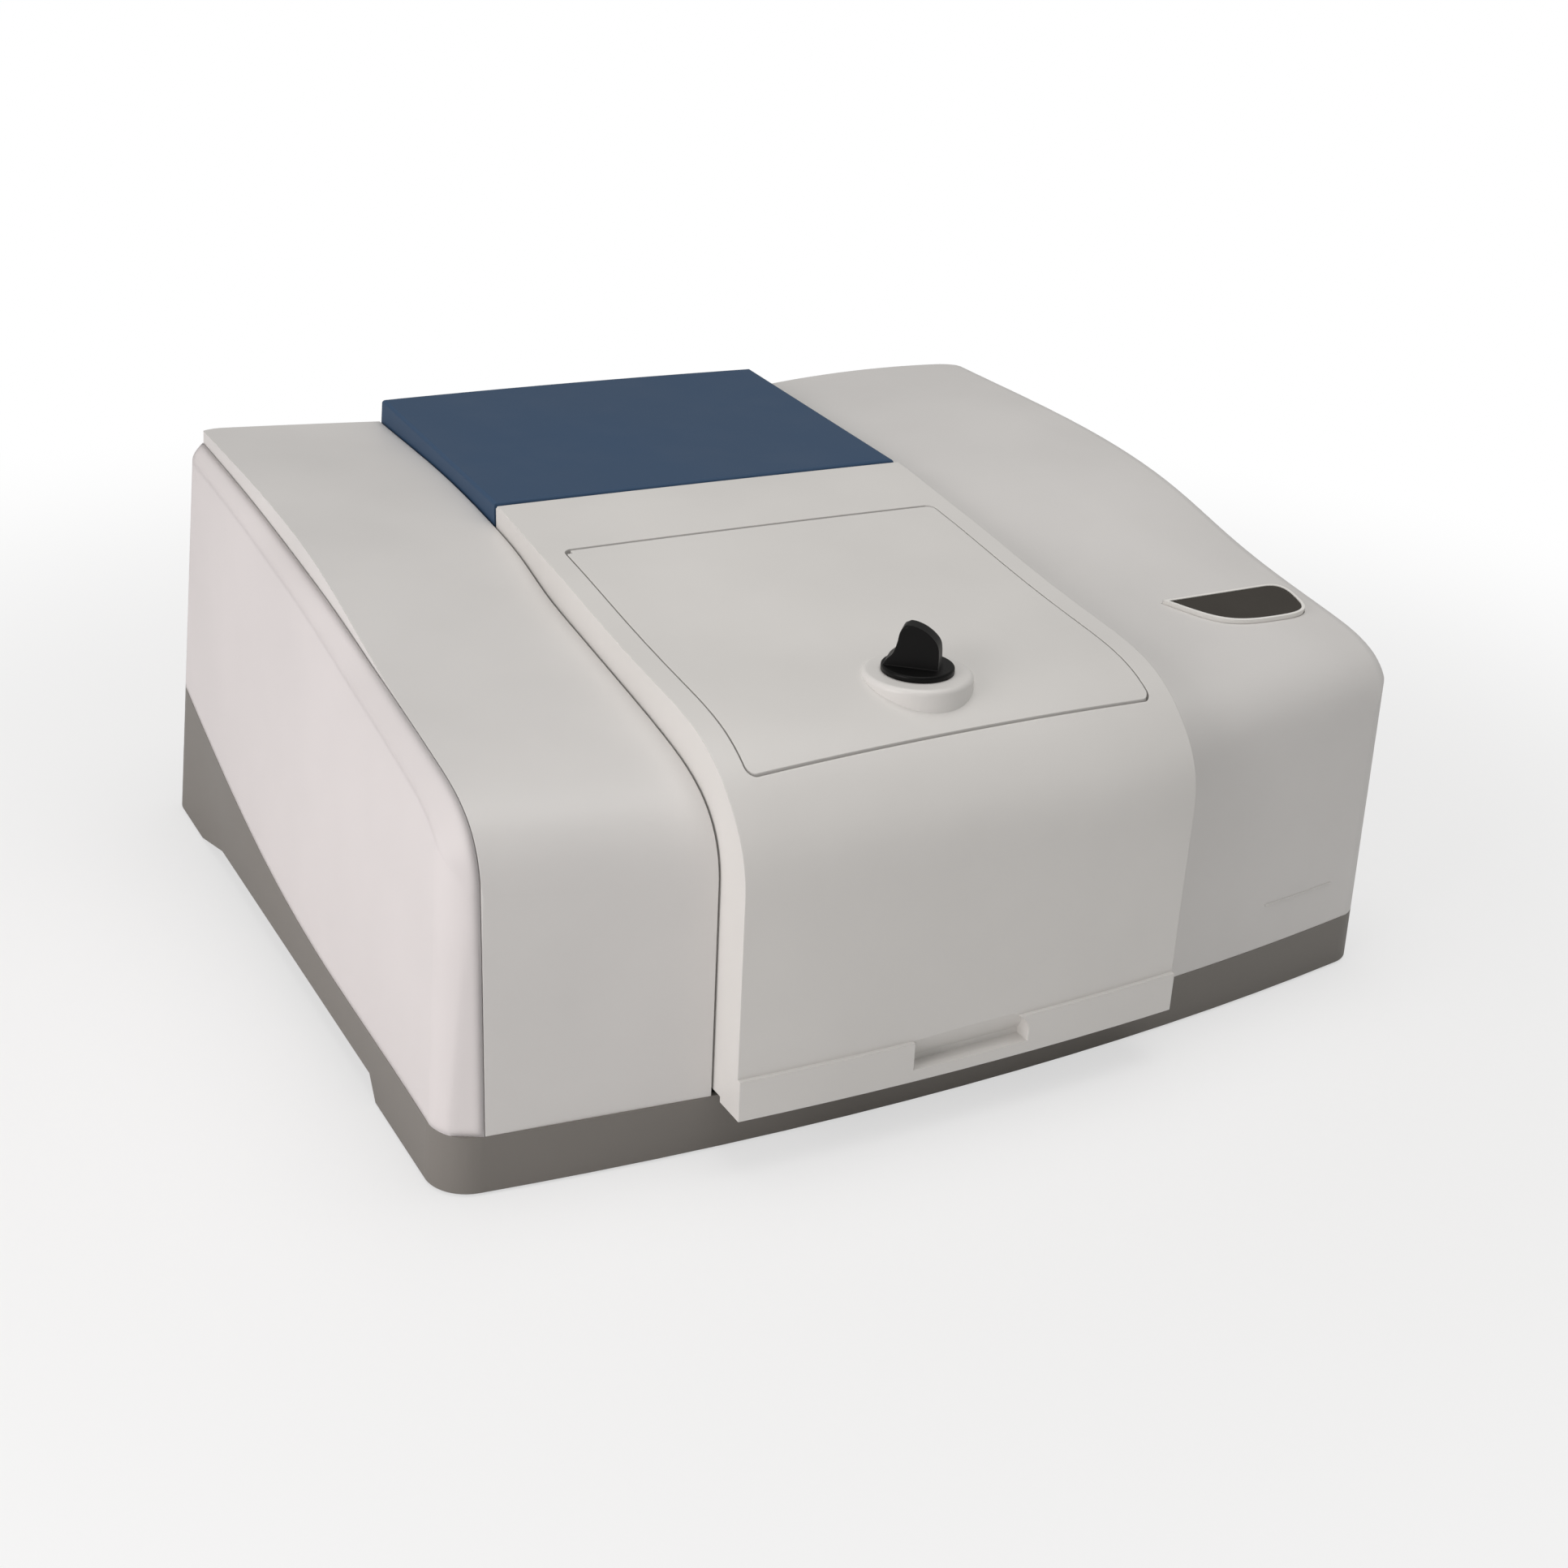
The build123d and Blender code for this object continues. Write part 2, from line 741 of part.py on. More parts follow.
lid_whole = lid_form(0, floor=lid_floor)
lid_room = lid_form(wall)
hatch_bed = lid_form(wall + fit_gap)
ledge_band = lid_form(wall / 2) - lid_form(wall * 2 + fit_gap)
ledge_x = (opening_x[0] - hatch_ledge / 2, opening_x[1] + hatch_ledge / 2)
ledge_y_range = (opening_y[0] - hatch_ledge / 2, ledge_stop)
upper_z = (boss_height / 2, case_top)
with BuildPart() as sample_lid:
    add(lid_whole)
    strip_y = (lid_front - strip_proud * 2, place(bow_sag))
    strip = slab((lid_left, lid_right), strip_y, (lid_floor, strip_top))
    add(lid_form(-strip_proud, floor=lid_floor) & strip)
    block((lid_left - wall, lid_right + wall), (place(lid_rear), rear_y), (0, case_top), Mode.SUBTRACT)
    rear_edge = sample_lid.faces().sort_by(Axis.Y)[-1].edges().sort_by(Axis.Z)[-1]
    chamfer(rear_edge, lid_rear_chamfer)
    inner_x = (lid_left + wall, lid_right - wall)
    add(lid_room & slab(inner_x, (lid_front, place(lid_rear) - wall), (0, case_top)), mode=Mode.SUBTRACT)
    block(inner_x, (lid_axis[0], place(lid_rear)), (0, lid_axis[1]), Mode.SUBTRACT)
    add(lid_form(lid_skirt, (lid_left - wall, 0, lid_right + wall)), mode=Mode.SUBTRACT)
    outer_x = (lid_left - wall, lid_right + wall)
    block(outer_x, (face_y - fit_gap, rear_y), (0, lid_floor + wall), Mode.SUBTRACT)
    add(ledge_band & slab(ledge_x, ledge_y_range, upper_z))
    opening = rounded_slab(opening_x, opening_y, upper_z, opening_round)
    add((lid_whole - hatch_bed) & opening, mode=Mode.SUBTRACT)
    ledge_hole_x = (opening_x[0] + hatch_ledge, opening_x[1] - hatch_ledge)
    block(ledge_hole_x, (opening_y[0] + hatch_ledge, ledge_stop), upper_z, Mode.SUBTRACT)
    pull_x = (lid_offset - pull_width / 2 - wall, lid_offset + pull_width / 2 + wall)
    pull_y = (lid_front + wall, lid_front + pull_depth + wall)
    block(pull_x, pull_y, (pull_lip - wall, pull_top + wall))
    add(pull_mouth(), mode=Mode.SUBTRACT)
    for x in lid_hinges:
        for side in (-1, 1):
            ear = x + side * ear_offset
            ear_top = lid_height(lid_hinge, ear) - wall / 2
            ear_y = (lid_axis[0] - hinge_eye_radius, lid_axis[0] + hinge_eye_radius)
            rod("X", (ear, *lid_axis), hinge_eye_radius, wall)
            block((ear - wall / 2, ear + wall / 2), ear_y, (lid_axis[1], ear_top))
        rod("X", (x, *lid_axis), hinge_pin_radius, hinge_eye_width * 3, Mode.SUBTRACT)
    for side, eye in hatch_hinges:
        arm = eye + side * ear_offset
        arm_x = (arm - wall / 2, arm + wall / 2)
        arm_top = lid_height(hatch_hinge - hatch_arm, arm) - wall * 3 / 2
        arm_low = hatch_axis[1] - hatch_eye_radius
        rod("X", (arm, *hatch_axis), hatch_eye_radius, wall)
        block(arm_x, (ledge_stop - hatch_arm, hatch_axis[0]), (arm_low, hatch_axis[1]))
        block(arm_x, (ledge_stop - hatch_arm, ledge_stop), (arm_low, arm_top))
        rod("X", (arm, *hatch_axis), hatch_pin_radius + running_gap, hinge_eye_width, Mode.SUBTRACT)
sample_lid.part.label = "sample_lid"

pin_length = hinge_eye_width + (fit_gap + wall) * 2
with BuildPart() as lid_hinge_pins:
    for x in lid_hinges:
        rod("X", (x, *lid_axis), hinge_pin_radius, pin_length)
lid_hinge_pins.part.label = "lid_hinge_pins"

# Sample hatch: a curved flap flush with the lid, with a flat boss for the latch knob
knob_spot = (lid_offset + knob_offset, place(knob_distance))


def boss_form():
    """The round boss with its softened rim."""
    with BuildPart() as boss:
        rod("Z", (*knob_spot, (upper_z[0] + boss_height) / 2), boss_radius, boss_height - upper_z[0])
        fillet(boss.edges().sort_by(Axis.Z)[-1], boss_edge)
    return boss.part


with BuildPart() as sample_hatch:
    add(lid_whole & rounded_slab(hatch_x, hatch_y, upper_z, opening_round - hatch_side_gap))
    add(boss_form())
    add(lid_room, mode=Mode.SUBTRACT)
    rod("Z", (*knob_spot, boss_height), spindle_radius + running_gap, spindle_drop * 2, Mode.SUBTRACT)
    for side, eye in hatch_hinges:
        eye_x = (eye - hinge_eye_width / 2, eye + hinge_eye_width / 2)
        eye_y = (hatch_axis[0] - hatch_eye_radius, hatch_axis[0] + hatch_eye_radius)
        rod("X", (eye, *hatch_axis), hatch_eye_radius, hinge_eye_width)
        block(eye_x, eye_y, (hatch_axis[1], lid_height(hatch_hinge, eye) - wall / 2))
        rod("X", (eye, *hatch_axis), hatch_pin_radius, hinge_eye_width, Mode.SUBTRACT)
    notch_x = (hatch_x[0] - wall, hatch_x[0] + wall)
    block(notch_x, (hatch_y[1] - wall, hatch_y[1] + wall), upper_z, Mode.SUBTRACT)
sample_hatch.part.label = "sample_hatch"

with BuildPart() as hatch_hinge_pins:
    for side, eye in hatch_hinges:
        middle = eye + side * (fit_gap + wall) / 2
        rod("X", (middle, *hatch_axis), hatch_pin_radius, hinge_eye_width + fit_gap + wall)
hatch_hinge_pins.part.label = "hatch_hinge_pins"


# Latch: a flared knob with a finger grip, its spindle through the boss, a tongue under the lid's ledge
knob_base = boss_height + fit_gap
tongue_top = boss_height - spindle_drop


def knob_form():
    """The knob on its own axis: a round foot, a slanting blade with a flared rear, and the spindle."""
    with BuildPart() as grip:
        with BuildSketch(Plane.XZ.offset(-grip_thickness / 2)) as side:
            with BuildLine():
                foot = (-grip_foot, knob_flange / 2)
                crest = (-grip_rear, grip_height)
                Polyline(foot, (grip_front, knob_flange / 2), (grip_front, grip_height), crest)
                Spline(crest, foot, tangents=[(-0.1, -1), (-1, -0.5)])
            make_face()
            fillet(side.vertices().group_by(Axis.Z)[-1], grip_round)
        extrude(amount=grip_thickness)
        chamfer(grip.faces().filter_by(Axis.Y).edges().group_by(Axis.Z)[-1], grip_edge)
    with BuildPart() as knob:
        with BuildSketch(Plane.XZ):
            with BuildLine():
                rim = (knob_radius, knob_flange)
                neck = (knob_neck, knob_neck_height)
                Polyline((0, knob_neck_height), (0, 0), (knob_radius, 0), rim)
                Spline(rim, neck, tangents=[(-1, 0.2), (-0.2, 1)])
                Line(neck, (0, knob_neck_height))
            make_face()
        revolve(axis=Axis.Z)
        add(grip.part.rotate(Axis.Z, grip_turn))
        spindle = spindle_drop + tongue_thickness
        rod("Z", (0, 0, -spindle / 2), spindle_radius, spindle)
    return knob.part


with BuildPart() as latch_knob:
    add(knob_form().moved(Location((*knob_spot, knob_base))))
latch_knob.part.label = "latch_knob"

with BuildPart() as latch_cam:
    with BuildSketch(Plane.XY.offset(tongue_top - tongue_thickness)):
        with Locations(knob_spot):
            Circle(spindle_radius * 2)
            with Locations((0, -tongue_length / 2)):
                Rectangle(tongue_width, tongue_length)
            Circle(spindle_radius, mode=Mode.SUBTRACT)
    extrude(amount=tongue_thickness)
latch_cam.part.label = "latch_cam"

# Optical bench on four isolators, and the screw holes for sampling accessories
stud_spots = [
    (lid_offset + side * stud_pitch_x / 2, beam_y + end * stud_pitch_y / 2)
    for side in (-1, 1)
    for end in (-1, 1)
]
bench_half = half_width - bench_margin
with BuildPart() as optical_bench:
    block((-bench_half, bench_half), (place(bench_front), place(bench_rear)), (bench_bottom, bench_top))
    fillet(optical_bench.edges().filter_by(Axis.Z), isolator_radius)
    chamfer(optical_bench.faces().sort_by(Axis.Z)[-1].edges(), foot_chamfer)
    for x, y in stud_spots:
        rod("Z", (x, y, bench_top), stud_radius, bench_thickness, Mode.SUBTRACT)
optical_bench.part.label = "optical_bench"

with BuildPart() as bench_isolators:
    for x, y in isolator_spots:
        rod("Z", (x, y, floor_top + isolator_height / 2), isolator_radius, isolator_height)
        rod("Z", (x, y, floor_top + isolator_height / 2), isolator_radius + foot_chamfer, isolator_height / 3)
bench_isolators.part.label = "bench_isolators"

# Sample tub under the lid, its rim following the lid
tub_left = lid_left + wall + tub_gap
tub_right = lid_right - wall - tub_gap
tub_floor = bench_top + sheet
tub_y = (place(tub_front), place(tub_rear))
tub_inner_x = (tub_left + sheet, tub_right - sheet)
tub_inner_y = (tub_y[0] + sheet, tub_y[1] - sheet)
with BuildPart() as sample_tub:
    add(lid_form(tub_drop, floor=bench_top) & slab((tub_left, tub_right), tub_y, (bench_top, case_top)))
    block(tub_inner_x, tub_inner_y, (tub_floor, case_top), Mode.SUBTRACT)
    block(tub_inner_x, (tub_y[0] - wall, tub_inner_y[0]), (bench_top + tub_lip, case_top), Mode.SUBTRACT)
    rod("X", (lid_offset, beam_y, beam_z), beam_port, lid_width, Mode.SUBTRACT)
    for x, y in stud_spots:
        rod("Z", (x, y, bench_top), stud_radius, bench_thickness, Mode.SUBTRACT)
sample_tub.part.label = "sample_tub"

with BuildPart() as tub_seal:
    seal_side = (seal_width - sheet) / 2
    seal_x = (tub_left - seal_side, tub_right + seal_side)
    seal_y = (tub_y[0], tub_y[1] + seal_side)
    add(lid_form(tub_drop - seal_height) & slab(seal_x, seal_y, (upper_z[0], case_top)))
    add(lid_form(tub_drop), mode=Mode.SUBTRACT)
    clear_x = (tub_inner_x[0] + seal_side, tub_inner_x[1] - seal_side)
    block(clear_x, (tub_y[0] - seal_width, tub_inner_y[1] - seal_side), (0, case_top), Mode.SUBTRACT)
tub_seal.part.label = "tub_seal"

ring_spots = (tub_left - ring_depth / 2, tub_right + ring_depth / 2)
with BuildPart() as window_rings:
    for x in ring_spots:
        tube("X", (x, beam_y, beam_z), ring_radius, beam_port, ring_depth)
window_rings.part.label = "window_rings"

with BuildPart() as beam_windows:
    for x in ring_spots:
        rod("X", (x, beam_y, beam_z), beam_port, ring_depth - sheet)
beam_windows.part.label = "beam_windows"

# Sample holder: an upright slotted plate that keeps a sample card in the beam
card_half = card_width / 2
card_bottom = beam_z - card_height / 2
holder_x = (lid_offset - holder_thickness / 2, lid_offset + holder_thickness / 2)
slot_half = card_thickness / 2 + running_gap
with BuildPart() as sample_holder:
    base_half = holder_thickness * 3
    base_y = (beam_y - card_half - holder_thickness * 2, beam_y + card_half + holder_thickness * 2)
    block((lid_offset - base_half, lid_offset + base_half), base_y, (tub_floor, tub_floor + wall))
    side_y = (beam_y - card_half - holder_thickness, beam_y + card_half + holder_thickness)
    block(holder_x, side_y, (tub_floor, card_bottom + card_height - card_lift))
    slot_y = (beam_y - card_half - running_gap, beam_y + card_half + running_gap)
    block((lid_offset - slot_half, lid_offset + slot_half), slot_y, (card_bottom, case_top), Mode.SUBTRACT)
    rod("X", (lid_offset, beam_y, beam_z), beam_port, holder_thickness * 2, Mode.SUBTRACT)
    grip_z = (beam_z, case_top)
    block(holder_x, (beam_y - card_sight, beam_y + card_sight), grip_z, Mode.SUBTRACT)
sample_holder.part.label = "sample_holder"

with BuildPart() as sample_card:
    card_x = (lid_offset - card_thickness / 2, lid_offset + card_thickness / 2)
    block(card_x, (beam_y - card_half, beam_y + card_half), (card_bottom, card_bottom + card_height))
    fillet(sample_card.edges().filter_by(Axis.X).group_by(Axis.Z)[-1], card_thickness * 2)
    rod("X", (lid_offset, beam_y, beam_z), card_sight, holder_thickness, Mode.SUBTRACT)
sample_card.part.label = "sample_card"

# Interferometer: a closed casting with two beam ports
block_x = (block_left, block_right)
block_y = (place(block_front), place(block_rear))
block_z = (bench_top, bench_top + block_height)
inner_x = (block_x[0] + block_wall, block_x[1] - block_wall)
inner_y = (block_y[0] + block_wall, block_y[1] - block_wall)
laser_x = block_left + laser_radius - wall
laser_z = bench_top + laser_rise
with BuildPart() as interferometer_housing:
    block(block_x, block_y, block_z)
    fillet(interferometer_housing.edges().filter_by(Axis.Z), block_wall)
    block(inner_x, inner_y, (0, case_top), Mode.SUBTRACT)
    rod("X", (block_left, beam_y, beam_z), beam_port, block_wall * 3, Mode.SUBTRACT)
    rod("Y", (splitter_x, block_y[1], beam_z), beam_port, block_wall * 3, Mode.SUBTRACT)
    rod("Y", (laser_x + wall * 2, block_y[1], laser_z), wall, block_wall * 3, Mode.SUBTRACT)
interferometer_housing.part.label = "interferometer_housing"

with BuildPart() as interferometer_cover:
    block(block_x, block_y, (block_z[1], block_z[1] + block_cover))
    fillet(interferometer_cover.edges().filter_by(Axis.Z), block_wall)
    with Locations(((block_x[0] + block_x[1]) / 2, (block_y[0] + block_y[1]) / 2, block_z[1] + block_cover)):
        with GridLocations(block_right - block_left - block_wall, block_y[1] - block_y[0] - block_wall, 2, 2):
            Cylinder(cover_screw_radius, sheet * 2)
interferometer_cover.part.label = "interferometer_cover"

splitter = Plane(origin=(splitter_x, beam_y, beam_z), x_dir=(-1, 1, 0), z_dir=(1, 1, 0))
with BuildPart() as beamsplitter:
    with BuildSketch(splitter.offset(-splitter_thick / 2)):
        Circle(splitter_radius)
    extrude(amount=splitter_thick)
beamsplitter.part.label = "beamsplitter"

with BuildPart() as beamsplitter_mount:
    with BuildSketch(splitter.offset(-splitter_thick * mount_share / 2)):
        Circle(splitter_radius + splitter_thick)
        with Locations((0, -(beam_rise + splitter_radius) / 2)):
            Rectangle(splitter_radius, beam_rise - splitter_radius)
    extrude(amount=splitter_thick * mount_share)
    with BuildSketch(splitter.offset(-splitter_thick)):
        Circle(splitter_radius)
    extrude(amount=splitter_thick * 2, mode=Mode.SUBTRACT)
beamsplitter_mount.part.label = "beamsplitter_mount"


def triangle(plane, radius):
    """A three-sided sketch on a plane."""
    with BuildSketch(plane) as shape:
        RegularPolygon(radius, 3)
    return shape.sketch


def corner_cube(centre, facing):
    """A round retro-reflector body with a three-sided hollow corner in its face."""
    body = Plane(origin=centre, z_dir=facing)
    depth = cube_length * cube_hollow_share
    with BuildPart() as corner:
        mouth = triangle(body, cube_radius * cube_mouth_share)
        loft([mouth, triangle(body.offset(-depth), running_gap)], ruled=True)
    with BuildPart() as cube:
        with BuildSketch(body):
            Circle(cube_radius)
        extrude(amount=-cube_length)
        add(corner.part, mode=Mode.SUBTRACT)
    return cube.part


cube_x = splitter_x + cube_clear
with BuildPart() as fixed_corner_cube:
    add(corner_cube((cube_x, beam_y, beam_z), (-1, 0, 0)))
fixed_corner_cube.part.label = "fixed_corner_cube"

with BuildPart() as fixed_cube_bracket:
    back_x = cube_x + cube_length
    bracket_y = (beam_y - cube_radius, beam_y + cube_radius)
    block((back_x, inner_x[1]), bracket_y, (bench_top, beam_z + cube_radius))
fixed_cube_bracket.part.label = "fixed_cube_bracket"


def ring_slot(centre, length):
    """The round slot in the magnet that the coil moves in."""
    with BuildPart() as slot:
        tube("Y", centre, coil_radius + magnet_slot, coil_radius - coil_wall - magnet_slot, length)
    return slot.part


# Moving mirror: a carriage on two rods, driven by a coil in a ring magnet
cube_face_y = beam_y - cube_clear
carriage_y = (cube_face_y - cube_length - carriage_depth, cube_face_y - cube_length)
rod_xs = (splitter_x - rod_spread, splitter_x + rod_spread)
rod_z = beam_z - rod_drop
support_half = rod_radius * 2
support_y = (carriage_y[0] - scan_half * 6, carriage_y[1] + scan_half * 5)
with BuildPart() as moving_corner_cube:
    add(corner_cube((splitter_x, cube_face_y, beam_z), (0, 1, 0)))
moving_corner_cube.part.label = "moving_corner_cube"

with BuildPart() as scan_carriage:
    plate_x = (rod_xs[0] - support_half, rod_xs[1] + support_half)
    block(plate_x, carriage_y, (rod_z - support_half, rod_z + support_half))
    block((splitter_x - cube_radius, splitter_x + cube_radius), carriage_y, (rod_z, beam_z + cube_radius))
    chamfer(scan_carriage.edges().filter_by(Axis.Y).group_by(Axis.Z)[-1], sheet)
    for x in rod_xs:
        rod("Y", (x, carriage_y[0], rod_z), rod_radius + running_gap, carriage_depth * 4, Mode.SUBTRACT)
scan_carriage.part.label = "scan_carriage"

with BuildPart() as guide_rods:
    for x in rod_xs:
        rod("Y", (x, (support_y[0] + support_y[1]) / 2, rod_z), rod_radius, support_y[1] - support_y[0])
guide_rods.part.label = "guide_rods"

with BuildPart() as rod_supports:
    for x in rod_xs:
        for y in (support_y[0], support_y[1] - block_wall):
            post_x = (x - support_half, x + support_half)
            block(post_x, (y, y + block_wall), (bench_top, rod_z + support_half))
        rod("Y", (x, carriage_y[0], rod_z), rod_radius, body_depth, Mode.SUBTRACT)
rod_supports.part.label = "rod_supports"

coil_y = carriage_y[0] - coil_length / 2
magnet_y = (inner_y[0], inner_y[0] + magnet_length)
slot_floor_y = magnet_y[0] + magnet_slot * 4
with BuildPart() as voice_coil:
    tube("Y", (splitter_x, coil_y, beam_z), coil_radius, coil_radius - coil_wall, coil_length)
voice_coil.part.label = "voice_coil"

with BuildPart() as voice_coil_magnet:
    rod("Y", (splitter_x, (magnet_y[0] + magnet_y[1]) / 2, beam_z), magnet_radius, magnet_length)
    block((splitter_x - coil_radius, splitter_x + coil_radius), magnet_y, (bench_top, beam_z))
    slot_middle = (slot_floor_y + magnet_y[1] + wall) / 2
    add(ring_slot((splitter_x, slot_middle, beam_z), magnet_y[1] + wall - slot_floor_y), mode=Mode.SUBTRACT)
voice_coil_magnet.part.label = "voice_coil_magnet"

# Infrared source behind the interferometer, in a finned housing
source_y = (place(source_distance), place(source_distance) + source_depth)
source_half = source_depth / 2
source_top = beam_z + source_half
source_wall = sheet * 2
with BuildPart() as source_housing:
    block((splitter_x - source_half, splitter_x + source_half), source_y, (bench_top, source_top))
    hollow_x = (splitter_x - source_half + source_wall, splitter_x + source_half - source_wall)
    hollow_y = (source_y[0] + source_wall, source_y[1] - source_wall)
    block(hollow_x, hollow_y, (0, source_top - source_wall), Mode.SUBTRACT)
    rod("Y", (splitter_x, source_y[0], beam_z), beam_port, source_wall * 4, Mode.SUBTRACT)
    with Locations((splitter_x, (source_y[0] + source_y[1]) / 2, source_top + source_fin / 2)):
        with GridLocations(source_depth / source_fins, 1, source_fins, 1):
            Box(sheet, source_depth, source_fin)
source_housing.part.label = "source_housing"

with BuildPart() as infrared_source:
    source_spot = (splitter_x, (source_y[0] + source_y[1]) / 2)
    base_height = beam_rise - source_half / 2
    rod("Z", (*source_spot, bench_top + base_height / 2), source_half / 2, base_height)
    rod("Z", (*source_spot, beam_z), wall, source_half)
infrared_source.part.label = "infrared_source"

with BuildPart() as source_mirror:
    mirror_spot = (splitter_x, source_y[1] - source_wall - mirror_thick / 2, beam_z)
    rod("Y", mirror_spot, source_half - source_wall - sheet, mirror_thick)
    with Locations((splitter_x, source_y[1] - source_wall - mirror_thick - source_focus, beam_z)):
        Sphere(source_half, mode=Mode.SUBTRACT)
source_mirror.part.label = "source_mirror"

# Reference laser along the left of the source
laser_y = (source_y[0], source_y[0] + laser_length)
with BuildPart() as reference_laser:
    rod("Y", (laser_x, (laser_y[0] + laser_y[1]) / 2, laser_z), laser_radius, laser_length)
    chamfer(reference_laser.edges().filter_by(GeomType.CIRCLE), sheet)
    rod("Y", (laser_x + wall * 2, laser_y[0] - wall, laser_z), wall, wall * 4)
reference_laser.part.label = "reference_laser"

with BuildPart() as laser_clamps:
    for y in (laser_y[0] + laser_length / 5, laser_y[1] - laser_length / 5):
        clamp_x = (laser_x - laser_radius - sheet, laser_x + laser_radius + sheet)
        block(clamp_x, (y - block_wall, y + block_wall), (bench_top, laser_z))
    rod("Y", (laser_x, (laser_y[0] + laser_y[1]) / 2, laser_z), laser_radius, laser_length * 2, Mode.SUBTRACT)
laser_clamps.part.label = "laser_clamps"

# Collecting mirror and detector under the left cover
folding = Plane(origin=(detector_x, beam_y, beam_z), x_dir=(-1, 1, 0), z_dir=(1, 1, 0))
with BuildPart() as collecting_mirror:
    with BuildSketch(folding.offset(-mirror_thick)):
        Circle(mirror_radius)
    extrude(amount=mirror_thick)
    with Locations(folding.offset(mirror_focus - sheet).origin):
        Sphere(mirror_focus, mode=Mode.SUBTRACT)
collecting_mirror.part.label = "collecting_mirror"

with BuildPart() as collecting_mirror_mount:
    with BuildSketch(folding.offset(-mirror_thick - block_wall)):
        Circle(mirror_radius)
        with Locations((0, -(beam_rise + mirror_radius / 2) / 2)):
            Rectangle(mirror_radius, beam_rise - mirror_radius / 2)
    extrude(amount=block_wall)
collecting_mirror_mount.part.label = "collecting_mirror_mount"

detector_y = (place(detector_distance), place(detector_distance) + detector_length)
with BuildPart() as detector:
    rod("Y", (detector_x, (detector_y[0] + detector_y[1]) / 2, beam_z), detector_radius, detector_length)
    chamfer(detector.edges().filter_by(GeomType.CIRCLE).sort_by(Axis.Y)[0], sheet)
    rod("Y", (detector_x, detector_y[0], beam_z), detector_radius / 2, sheet * 2, Mode.SUBTRACT)
detector.part.label = "detector"

with BuildPart() as detector_board:
    board_x = (detector_x - detector_radius * 2, detector_x + detector_radius * 2)
    block(board_x, (detector_y[1], detector_y[1] + board_thick), (bench_top, beam_z + detector_radius * 2))
    foot_y = (detector_y[1] - wall * 2, detector_y[1] + wall * 3)
    block(board_x, foot_y, (bench_top, bench_top + wall))
detector_board.part.label = "detector_board"

with BuildPart() as desiccant_canister:
    can_spot = (detector_x, place(desiccant_distance))
    rod("Z", (*can_spot, bench_top + desiccant_height / 2), desiccant_radius, desiccant_height)
    rod("Z", (*can_spot, bench_top + desiccant_height + wall * 2), desiccant_radius + wall, wall * 4)
    fillet(desiccant_canister.edges().sort_by(Axis.Z)[-1], sheet)
desiccant_canister.part.label = "desiccant_canister"

# Electronics
supply_y = (place(supply_distance), place(supply_distance) + supply_length)
with BuildPart() as power_supply:
    supply_x = (detector_x - supply_width / 2, detector_x + supply_width / 2)
    block(supply_x, supply_y, (bench_top, bench_top + supply_height))
    with Locations((detector_x, (supply_y[0] + supply_y[1]) / 2, bench_top + supply_height)):
        with GridLocations(1, supply_slot_pitch, 1, supply_slots):
            Box(supply_width - supply_slot_margin * 2, sheet * 2, sheet * 2, mode=Mode.SUBTRACT)
power_supply.part.label = "power_supply"

pcb_x = (board_left, board_right)
pcb_y = (place(board_front), place(board_rear))
pcb_z = (bench_top + board_height, bench_top + board_height + board_thick)
pcb_middle = ((pcb_x[0] + pcb_x[1]) / 2, (pcb_y[0] + pcb_y[1]) / 2)
pcb_size = (pcb_x[1] - pcb_x[0], pcb_y[1] - pcb_y[0])
with BuildPart() as main_board:
    block(pcb_x, pcb_y, pcb_z)
    with Locations((*pcb_middle, pcb_z[1])):
        with GridLocations(pcb_size[0] / 4, pcb_size[1] / 2, 4, 2):
            Box(chip_size, chip_size, wall, align=(Align.CENTER, Align.CENTER, Align.MIN))
        with GridLocations(pcb_size[0] / 5, 1, 5, 1):
            Cylinder(capacitor_radius, capacitor_height, align=(Align.CENTER, Align.CENTER, Align.MIN))
main_board.part.label = "main_board"

with BuildPart() as board_standoffs:
    with Locations((*pcb_middle, bench_top + board_height / 2)):
        with GridLocations(pcb_size[0] - block_wall * 2, pcb_size[1] - block_wall * 2, 2, 2):
            Cylinder(wall, board_height)
board_standoffs.part.label = "board_standoffs"

# Lid hinge brackets on the rear wall of the tub
with BuildPart() as lid_hinge_brackets:
    for x in lid_hinges:
        lug_x = (x - hinge_eye_width / 2, x + hinge_eye_width / 2)
        block(lug_x, (tub_y[1], lid_axis[0]), (lid_axis[1] - hinge_drop, lid_axis[1] - hinge_neck))
        block(lug_x, (tub_y[1] + sheet, lid_axis[0]), (lid_axis[1] - hinge_drop, lid_axis[1]))
        rod("X", (x, *lid_axis), hinge_eye_radius, hinge_eye_width)
        flange_x = (x - hinge_flange / 2, x + hinge_flange / 2)
        flange_z = (lid_axis[1] - hinge_drop, lid_axis[1] - hinge_drop / 2)
        block(flange_x, (tub_y[1], tub_y[1] + sheet), flange_z)
        rod("X", (x, *lid_axis), hinge_pin_radius + running_gap, hinge_eye_width * 2, Mode.SUBTRACT)
lid_hinge_brackets.part.label = "lid_hinge_brackets"

